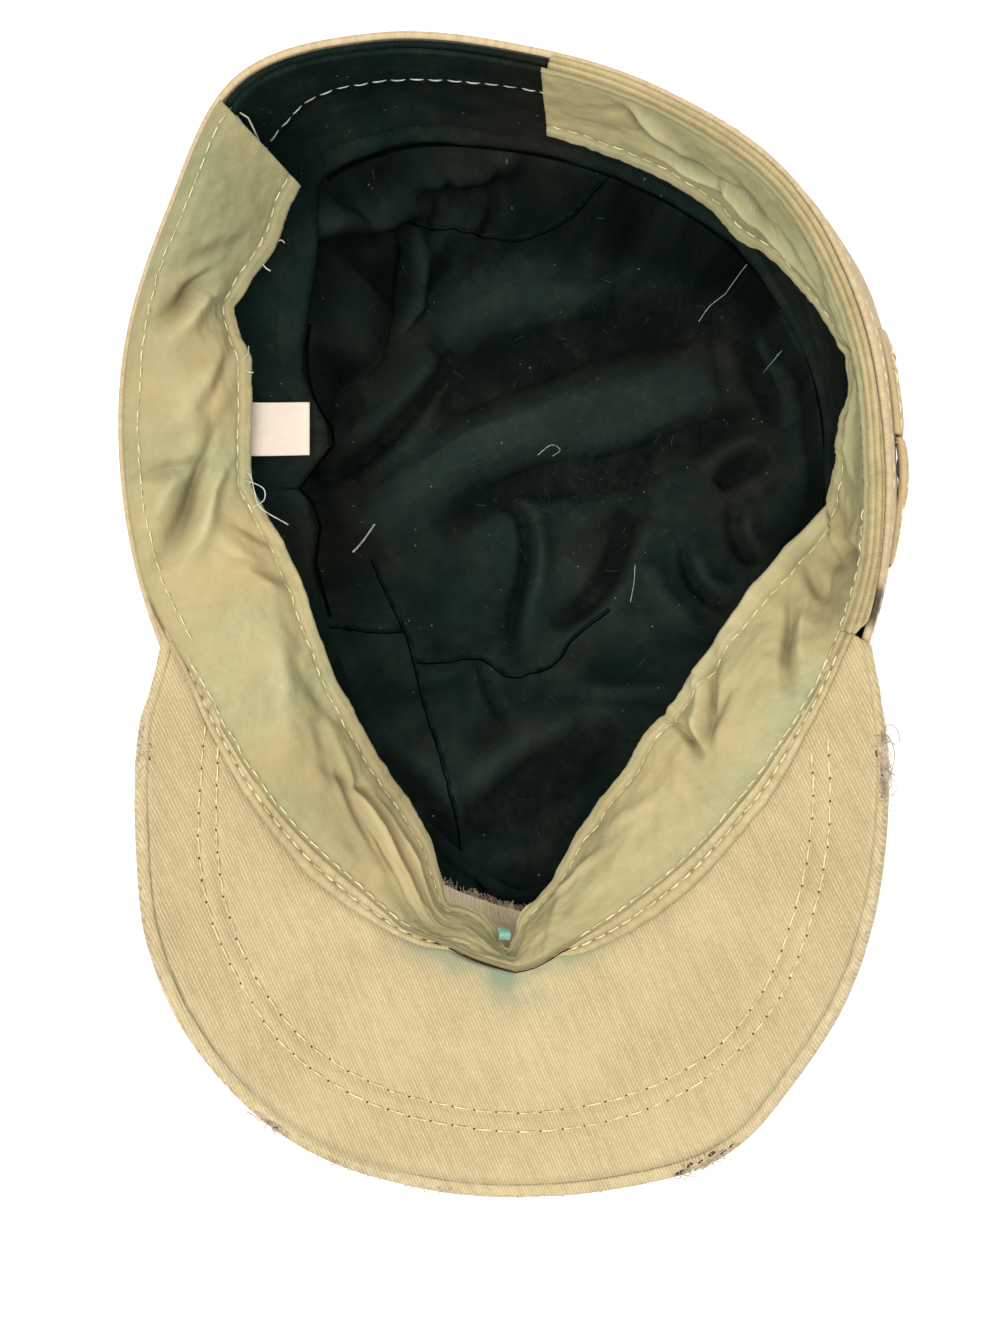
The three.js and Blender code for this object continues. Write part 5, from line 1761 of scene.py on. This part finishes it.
    def _stitch(self, under: ClothSheet, tape: ClothSheet) -> None:
        """Sews the two rows round the peak and the two rows along the tape."""
        threads, holes = ThreadBundle(), ThreadBundle()
        for row, seed in ((OUTER_ROW, 7), (INNER_ROW, 8)):
            line, normal = self.on_under(under, row)
            Seam(pitch=5.2, stitch=4.4, radius=0.21, lift=0.16, waver=0.15, seed=seed).sew(threads, holes,
                line, normal)
        s = spread(FORM.peak_from + 0.1, FORM.peak_to - 0.1, 0.01)
        Seam(pitch=3.6, stitch=3.0, radius=0.26, seed=9).follow(threads, tape, s, 0.47, -1.0)
        self.wardrobe.dress(threads, "peak_stitching", Thread.STRAW, "peak_twill")
        self.wardrobe.dress(holes, "peak_needle_hole_shade", Thread.HOLE_SHADE, "peak_twill")

    def _edge_top(self, s: Array, t: Array) -> Array:
        """The edge band's rounded upper side."""
        return 0.18 - 0.16 * np.exp(-t / 0.12) - 1.1 * t**4

    def _edge_foot(self, s: Array, t: Array) -> Array:
        """The edge band's rounded lower side."""
        return (-3.5 + 0.9 * t**3) * self._thin(s)

    @staticmethod
    def _thin(s: Array) -> Array:
        """The peak's layers thin out towards its two corners."""
        return np.interp(np.minimum(s - FORM.peak_from, FORM.peak_to - s), (0, 0.6), (0.3, 1))

    def _edge_wear(self, s: Array, t: Array, point: Array) -> Array:
        """The edge is rubbed, more in some stretches."""
        return clamped(0.5 + 0.7 * self.wrinkle.layered(s * 4, t, 2))

    def _tape_relief(self, s: Array, t: Array) -> Array:
        """The tape's two cords, with the stitches sunk between them."""
        cords = np.abs(np.sin(2.1 * np.pi * t)) ** 0.7
        return 0.45 - 1.2 * cords + 0.2 * self.wrinkle.layered(s * 8, t * 0.5, 3)

    def _tape_groove_shade(self, s: Array, t: Array, point: Array) -> Array:
        """Dark lines of painted shade along the tape's outer edge, its stitched groove and its inner edge."""
        broken = 0.75 + 0.5 * self.wrinkle.layered(s * 12, t * 2, 2)
        groove = 0.7 * bell(t - 0.476, 0.05) + 0.55 * clamped((t - 0.82) / 0.1)
        return np.clip((groove + 0.7 * bell(t, 0.04)) * broken, 0, 0.85)


@dataclass
class Fittings:
    """The label, the side tab and strap, and the snap behind the strap's slot."""

    wardrobe: Wardrobe
    strap_cloth: float = 1.4
    strap_lift: float = 0.9
    snap_at: float = 4.9
    snap_drop: float = 16.0
    snap_radius: float = 2.7

    def build(self) -> None:
        """Makes and settles the fittings."""
        high = FORM.band_height
        label = ClothSheet(self._label_at, np.linspace(0, 1, 30), np.linspace(0, 1, 44), 0, -0.7,
            self._label_relief)
        self.wardrobe.dress(label, "label_tape_cloth", Cloth.LABEL, "label_tape", "label")
        base = FORM.band_proud + 0.1
        threads = ThreadBundle()
        tab = ClothSheet(FORM.band, spread(5.13, 5.85, 0.02), np.linspace(6 / high, 26 / high, 34), lambda s,
            t: base + self.strap_cloth * np.interp(s, (5.3, 5.85), (1, 0.3)), base,
            self._rolled(5.13, 5.85, 6, 26))
        self.wardrobe.dress(tab, "side_tab_cloth", Cloth.SHELL, "shell_canvas", "side_tab")
        for drop in (7.4, 24.6):
            s = spread(5.15, 5.83, 0.01)
            Seam(radius=0.2, seed=int(drop)).follow(threads, tab, s, drop / high, base + self.strap_cloth)
        strap = ClothSheet(FORM.band, spread(4.2, 5.11, 0.02), np.linspace(8 / high, 24 / high, 28), lambda s,
            t: base + self.lift(s) + self.thick(s), lambda s, t: base + self.lift(s),
            self._rolled(4.2, 5.11, 8, 24))
        self.wardrobe.dress(strap, "side_strap_cloth", Cloth.SHELL, "shell_canvas", "side_strap")
        s = spread(4.22, 5.09, 0.01)
        for drop in (9.4, 22.6):
            Seam(radius=0.2, seed=int(drop)).follow(threads, strap, s, drop / high, lambda a,
                b: base + self.lift(a) + self.thick(a))
        self.wardrobe.dress(threads, "side_strap_stitching", Thread.STRAW, "shell_canvas")
        self._snap(base)

    @staticmethod
    def _label_at(s: Array, t: Array) -> Array:
        """The label hangs out from under the sweatband: down its side by s, inward by t."""
        back, front = np.array([[-78.0, 3.0, 73.0], [-62.6, 3.8, 68.0]]), np.array([[-78.3, -9.2, 71.0],
            [-62.8, -8.4, 66.0]])
        near = back[0] + (back[1] - back[0]) * t[..., None]
        far = front[0] + (front[1] - front[0]) * t[..., None]
        point = near + (far - near) * s[..., None]
        point[..., 2] -= 0.5 * np.sin(np.pi * t) + 0.25 * np.sin(np.pi * s)
        return point

    @staticmethod
    def _label_relief(s: Array, t: Array) -> Array:
        """The doubled strip at the label's free end."""
        return -0.45 * clamped(1 - ((1 - t) / 0.1) ** 4)

    @staticmethod
    def _rolled(start: float, stop: float, top: float, foot: float) -> Amount:
        """Relief that rounds a strap's four edges."""
        def relief(s: Array, t: Array) -> Array:
            """Height at a place."""
            high = FORM.band_height
            along = np.minimum(s - start, stop - s) * 30
            across = np.minimum(t * high - top, foot - t * high)
            edge = np.maximum(np.minimum(along, across), 0)
            return -0.45 * np.exp(-edge / 0.6) - 0.15 * bell(edge - 1.4, 0.4)
        return relief

    def thick(self, s: Array) -> Array:
        """The strap's thickness, which fades where it runs into the seam."""
        return self.strap_cloth * np.interp(s, (4.2, 4.7), (0.25, 1))

    def lift(self, s: Array) -> Array:
        """How far the loose part of the strap stands off the band."""
        loose = clamped((s - 4.62) / 0.5)
        return self.strap_lift * np.sqrt(np.maximum(np.sin(np.pi * loose), 0))

    def _snap(self, base: float) -> None:
        """A small pale snap that shows through the strap's slot."""
        at = np.array([[self.snap_at]])
        drop = np.array([[self.snap_drop / FORM.band_height]])
        centre = FORM.band(at, drop)[0, 0]
        out = -FORM.inward(at)[0, 0]
        side = np.cross(out, [0.0, 0.0, 1.0])
        sides = 28
        turns = np.arange(sides) * 2 * np.pi / sides
        rings = []
        for radius, height in ((0.0, 1.0), (0.55, 1.0), (0.85, 0.85), (1.0, 0.45), (1.0, 0.0)):
            ring = side[None] * np.cos(turns)[:, None] + np.array([0, 0, 1.0]) * (np.sin(turns)[:, None])
            rings.append(centre + out * (base + 0.1 + 0.9 * height) + ring * radius * self.snap_radius)
        faces = [(r * sides + k, r * sides + (k + 1) % sides, (r + 1) * sides + (k + 1) % sides,
            (r + 1) * sides + k) for r in range(4) for k in range(sides)]
        mesh = new_mesh("strap_snap_body", np.concatenate(rings), faces)
        snap = make_object("strap_snap_body", mesh, self.wardrobe.material(Thread.SNAP))
        settle(snap, "snap_plastic", "strap_snap")


@dataclass(frozen=True)
class FraySpot:
    """A frayed place on the peak's edge.

    x, y: its middle. half: half its length along the edge. hairs, reach: how many
    loose yarns and their longest length. patches: dark holes in the cloth.
    """

    x: float
    y: float
    half: float
    hairs: int
    reach: float
    patches: tuple[tuple[float, float, float, float], ...] = ()


@dataclass
class Frays:
    """Worn places of the peak's edge, and loose threads elsewhere."""

    wardrobe: Wardrobe
    spots: tuple[FraySpot, ...] = (FraySpot(-101.2, -76.5, 6.5, 34, 2.0,
        ((-1.0, 2.5, 0.5, 0.9), (0.5, 2.0, 0.4, 0.6), (2.4, 2.6, 0.5, 0.7))),
        FraySpot(-70.5, -164.5, 4.0, 60, 2.6, ((0.6, 0.6, 0.6, 0.5),)),
        FraySpot(-52, -174.5, 8.0, 26, 1.1), FraySpot(-32, -181, 9.0, 26, 1.0),
        FraySpot(29, -171.5, 9.5, 90, 2.2, ((-6.5, 1.4, 1.5, 0.9), (-3.6, 1.8, 1.4, 1.1),
        (-0.8, 1.5, 1.3, 0.8), (2.2, 1.9, 1.4, 1.0), (5.0, 1.4, 1.2, 0.8), (7.2, 1.7, 0.9, 0.7))),
        FraySpot(69, -80, 9.0, 150, 2.7, ((-6.8, 1.3, 1.0, 0.8), (-4.2, 2.2, 2.0, 1.3),
        (-0.4, 2.3, 1.3, 1.1), (2.6, 2.0, 1.5, 1.2), (-1.8, 0.8, 1.4, 0.7), (5.6, 1.5, 1.0, 0.8))))

    def build(self) -> None:
        """Makes and settles the frayed yarns, the holes behind them and loose threads."""
        random = np.random.RandomState(91)
        yarns, backing = ThreadBundle(sides=4), ThreadBundle(sides=10)
        for spot in self.spots:
            self._spot(spot, random, yarns, backing)
        self._edge_hairs(random, yarns)
        for path, radius in self._loops():
            yarns.add(smooth_line(path, 8), radius)
        self.wardrobe.dress(yarns, "peak_frayed_yarns", Thread.FRAY, "peak_twill")
        self.wardrobe.dress(backing, "peak_torn_backing", Thread.TEAR, "peak_twill")

    def _frame_at(self, x: float, y: float) -> tuple[Array, Array, Array, Array]:
        """The outline's nearest point, its run, its outward way and its upward way."""
        s = spread(FORM.peak_from + 0.05, FORM.peak_to - 0.05, 0.004)
        edge = FORM.peak(s, np.ones_like(s))
        k = int(np.argmin((edge[:, 0] - x) ** 2 + (edge[:, 1] - y) ** 2))
        k = min(max(k, 2), len(s) - 3)
        run = edge[k + 2] - edge[k - 2]
        run = unit(run)
        inner = FORM.peak(s[k:k + 1], np.array([0.9]))[0]
        out = edge[k] - inner
        out -= run * (out @ run)
        out = unit(out)
        up = np.cross(run, out)
        up *= np.sign(up[2])
        return edge[k], run, out, up

    def _spot(self, spot: FraySpot, random: np.random.RandomState, yarns: ThreadBundle,
            backing: ThreadBundle) -> None:
        """One frayed place: dark holes, yarns across them and hairs at the edge."""
        edge, run, out, up = self._frame_at(spot.x, spot.y)
        steps = np.linspace(0, 1, 6)[:, None]
        for along, inset, half_long, half_wide in spot.patches:
            middle = edge + run * along - out * inset + up * 0.1
            line = middle + run * (np.linspace(-1, 1, 9)[:, None] * half_long)
            line = line + out * (0.12 * np.sin(np.linspace(0, 7, 9))[:, None])
            swell = half_wide * (1 - np.linspace(-1, 1, 9) ** 4) * 0.5 + 0.05
            backing.add(line - up * (swell.max() * 0.75), swell * 1.05)
            count = max(2, int(half_long * 2 / 0.8))
            for place in np.linspace(-half_long, half_long, count):
                start = middle + run * (place + random.uniform(-0.1, 0.1)) + up * 0.16
                tilt = run * random.uniform(-0.35, 0.35)
                span = (out + tilt) * (half_wide * 1.5)
                yarns.add(start - span + 2 * span * steps + up * 0.1 * np.sin(np.pi * steps), 0.075)
        for _ in range(spot.hairs):
            place = random.normal(0, 0.5) * spot.half
            start = edge + run * place - out * random.uniform(0, 1.6) + up * 0.12
            lean = run * random.normal(0, 0.75) + out * random.uniform(0.2, 1.1)
            lean = lean + up * random.uniform(-0.3, 0.45)
            curl = run * random.normal(0, 0.8) - up * random.uniform(0, 0.5)
            long = spot.reach * random.uniform(0.25, 1.0) ** 1.4
            yarns.add(start + (lean * steps + curl * steps**2) * long, random.uniform(0.05, 0.1))

    def _edge_hairs(self, random: np.random.RandomState, yarns: ThreadBundle) -> None:
        """Very short fuzz all along the peak's edge."""
        s = np.sort(random.uniform(FORM.peak_from + 0.1, FORM.peak_to - 0.1, 620))
        edge = FORM.peak(s, np.ones_like(s))
        inner = FORM.peak(s, np.full(s.shape, 0.9))
        out = edge - inner
        out = unit(out)
        steps = np.linspace(0, 1, 4)[:, None]
        for k in range(len(s)):
            side = np.cross(out[k], [0, 0, 1.0]) * random.normal(0, 0.9)
            long = random.uniform(0.25, 0.9)
            start = edge[k] - out[k] * random.uniform(0.1, 0.5)
            start = start - np.array([0, 0, random.uniform(0.2, 2.6)])
            yarns.add(start + (out[k] + side * steps) * steps * (long + 0.3), random.uniform(0.04, 0.07))

    @staticmethod
    def _loops() -> list[tuple[Sequence[Sequence[float]], float]]:
        """Single long yarns that have pulled out of the edge."""
        return [(((68.9, -71.5, 82.0), (70.4, -71.2, 83.2), (71.6, -72.6, 83.4), (72.2, -75.0, 83.0)),
            0.09), (((68.6, -72.5, 82.2), (70.2, -75.0, 83.2), (70.9, -78.4, 83.2), (70.0, -82.5, 82.4)),
            0.1), (((68.4, -79.0, 82.0), (69.9, -81.6, 82.8), (70.2, -84.8, 82.6), (68.9, -87.5, 82.0)),
            0.09), (((-101.4, -71.2, 73.6), (-102.9, -71.4, 73.9), (-103.4, -72.8, 73.6)), 0.08),
            (((-101.4, -79.6, 73.6), (-102.6, -80.4, 73.8), (-102.2, -82.0, 73.4)), 0.08)]


@dataclass
class LooseThreads:
    """Thread ends left on the sweatband, beside the label and at the band's raw end."""

    wardrobe: Wardrobe

    def build(self) -> None:
        """Makes and settles the loose ends."""
        pale = ThreadBundle(sides=6)
        for path, radius in (
            (((-77.9, 65.2, 94), (-74.2, 63.4, 92), (-73.4, 62.7, 91), (-71.6, 58.9, 88)), 0.2),
            (((-77.7, 64.8, 94), (-75.6, 62.7, 93), (-74.1, 60.7, 91), (-72.0, 58.6, 88)), 0.16),
            (((-73.7, 58.1, 88.4), (-71.8, 57.6, 89), (-70.0, 57.3, 87.6)), 0.32),
            (((-73.5, 57.5, 88.4), (-71.8, 56.9, 89), (-70.2, 56.6, 87.6)), 0.28),
            (((-69.4, 38.4, 79), (-67.7, 38.7, 80.4), (-66.9, 38.2, 80)), 0.15),
            (((-72.2, 33.8, 79), (-71.1, 32.4, 80.4), (-70.1, 31.8, 80)), 0.15),
            (((-75.3, 15.0, 78.4), (-75.2, 13.1, 80), (-76.6, 11.7, 79)), 0.14),
            (((-76.2, 9.6, 78.4), (-74.9, 8.9, 79.6), (-74.1, 8.9, 79)), 0.14),
            (((-77.8, -13, 73), (-75.4, -14, 75), (-74.3, -18, 75.5), (-72.9, -21.6, 75),
              (-67, -25.2, 72)), 0.14),
            (((-77.6, -15, 73.5), (-74.4, -16, 76), (-72.1, -17.4, 76), (-72.2, -19.8, 75.4),
              (-75, -21.4, 74)), 0.13),
        ):
            pale.add(smooth_line(path, 8), radius)
        self.wardrobe.dress(pale, "loose_thread_ends", Thread.PALE, "sweatband_cotton")
        mint = ThreadBundle(sides=7)
        for k in range(6):
            left = -18.4 + 0.46 * k
            mint.add(smooth_line(((left, -120.6 - 0.1 * k, 56), (left + 0.5, -122.0, 57.6),
                (left + 0.3, -123.4, 57)), 5), 0.27)
        self.wardrobe.dress(mint, "front_tack", Thread.MINT, "shell_canvas")


@dataclass
class Studio:
    """Floor, lights and the camera straight above the cap."""

    camera_at: tuple[float, float, float] = (-0.018, -0.058, 0.5)
    focal_px: float = 1850.0
    frame_px: float = 1333.0

    def build(self) -> None:
        """Sets the stage."""
        self._floor()
        self._light("key_softbox", (-0.6, -0.5, 1.85), 1.2, 44.0)
        self._light("fill_softbox", (0.9, 0.7, 1.8), 1.6, 22.0)
        world = bpy.data.worlds.new("studio")
        world.use_nodes = True
        background = world.node_tree.nodes["Background"]
        background.inputs[0].default_value = (1.0, 1.0, 1.0, 1.0)
        background.inputs[1].default_value = 0.68
        bpy.context.scene.world = world
        bpy.context.scene.view_settings.view_transform = "Standard"
        data = bpy.data.cameras.new("camera")
        data.sensor_width = 36.0
        data.lens = self.focal_px / self.frame_px * data.sensor_width
        data.clip_start = 0.01
        camera = bpy.data.objects.new("camera", data)
        camera.location = self.camera_at
        bpy.context.scene.collection.objects.link(camera)
        bpy.context.scene.camera = camera

    def _floor(self) -> None:
        """A plain pale floor."""
        half = 2.0
        mesh = bpy.data.meshes.new("floor")
        corners = [(-half, -half, 0), (half, -half, 0), (half, half, 0), (-half, half, 0)]
        mesh.from_pydata(corners, [], [(0, 1, 2, 3)])
        material = bpy.data.materials.new("pale_floor")
        material.use_nodes = True
        shader = material.node_tree.nodes["Principled BSDF"]
        shader.inputs["Base Color"].default_value = (0.97, 0.97, 0.97, 1.0)
        shader.inputs["Roughness"].default_value = 0.9
        floor = make_object("floor", mesh, material)

    def _light(self, name: str, place: Sequence[float], size: float, power: float) -> None:
        """A large soft light aimed at the cap."""
        data = bpy.data.lights.new(name, "AREA")
        data.energy = power
        data.size = size
        light = bpy.data.objects.new(name, data)
        light.location = place
        aim = np.array([-0.01, -0.04, 0.04]) - np.array(place)
        flat = math.hypot(aim[0], aim[1])
        light.rotation_euler = (math.atan2(flat, -aim[2]), 0.0, math.atan2(-aim[0], aim[1]))
        bpy.context.scene.collection.objects.link(light)


def main() -> None:
    """Builds the stage, then each sub-assembly."""
    logging.basicConfig(level=logging.INFO, format="%(name)s: %(message)s")
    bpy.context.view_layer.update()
    Studio().build()
    wardrobe = Wardrobe()
    for part in (Shell, Lining, Sweatband, Peak, Fittings, Frays, LooseThreads):
        part(wardrobe).build()


if __name__ == "__main__":
    main()
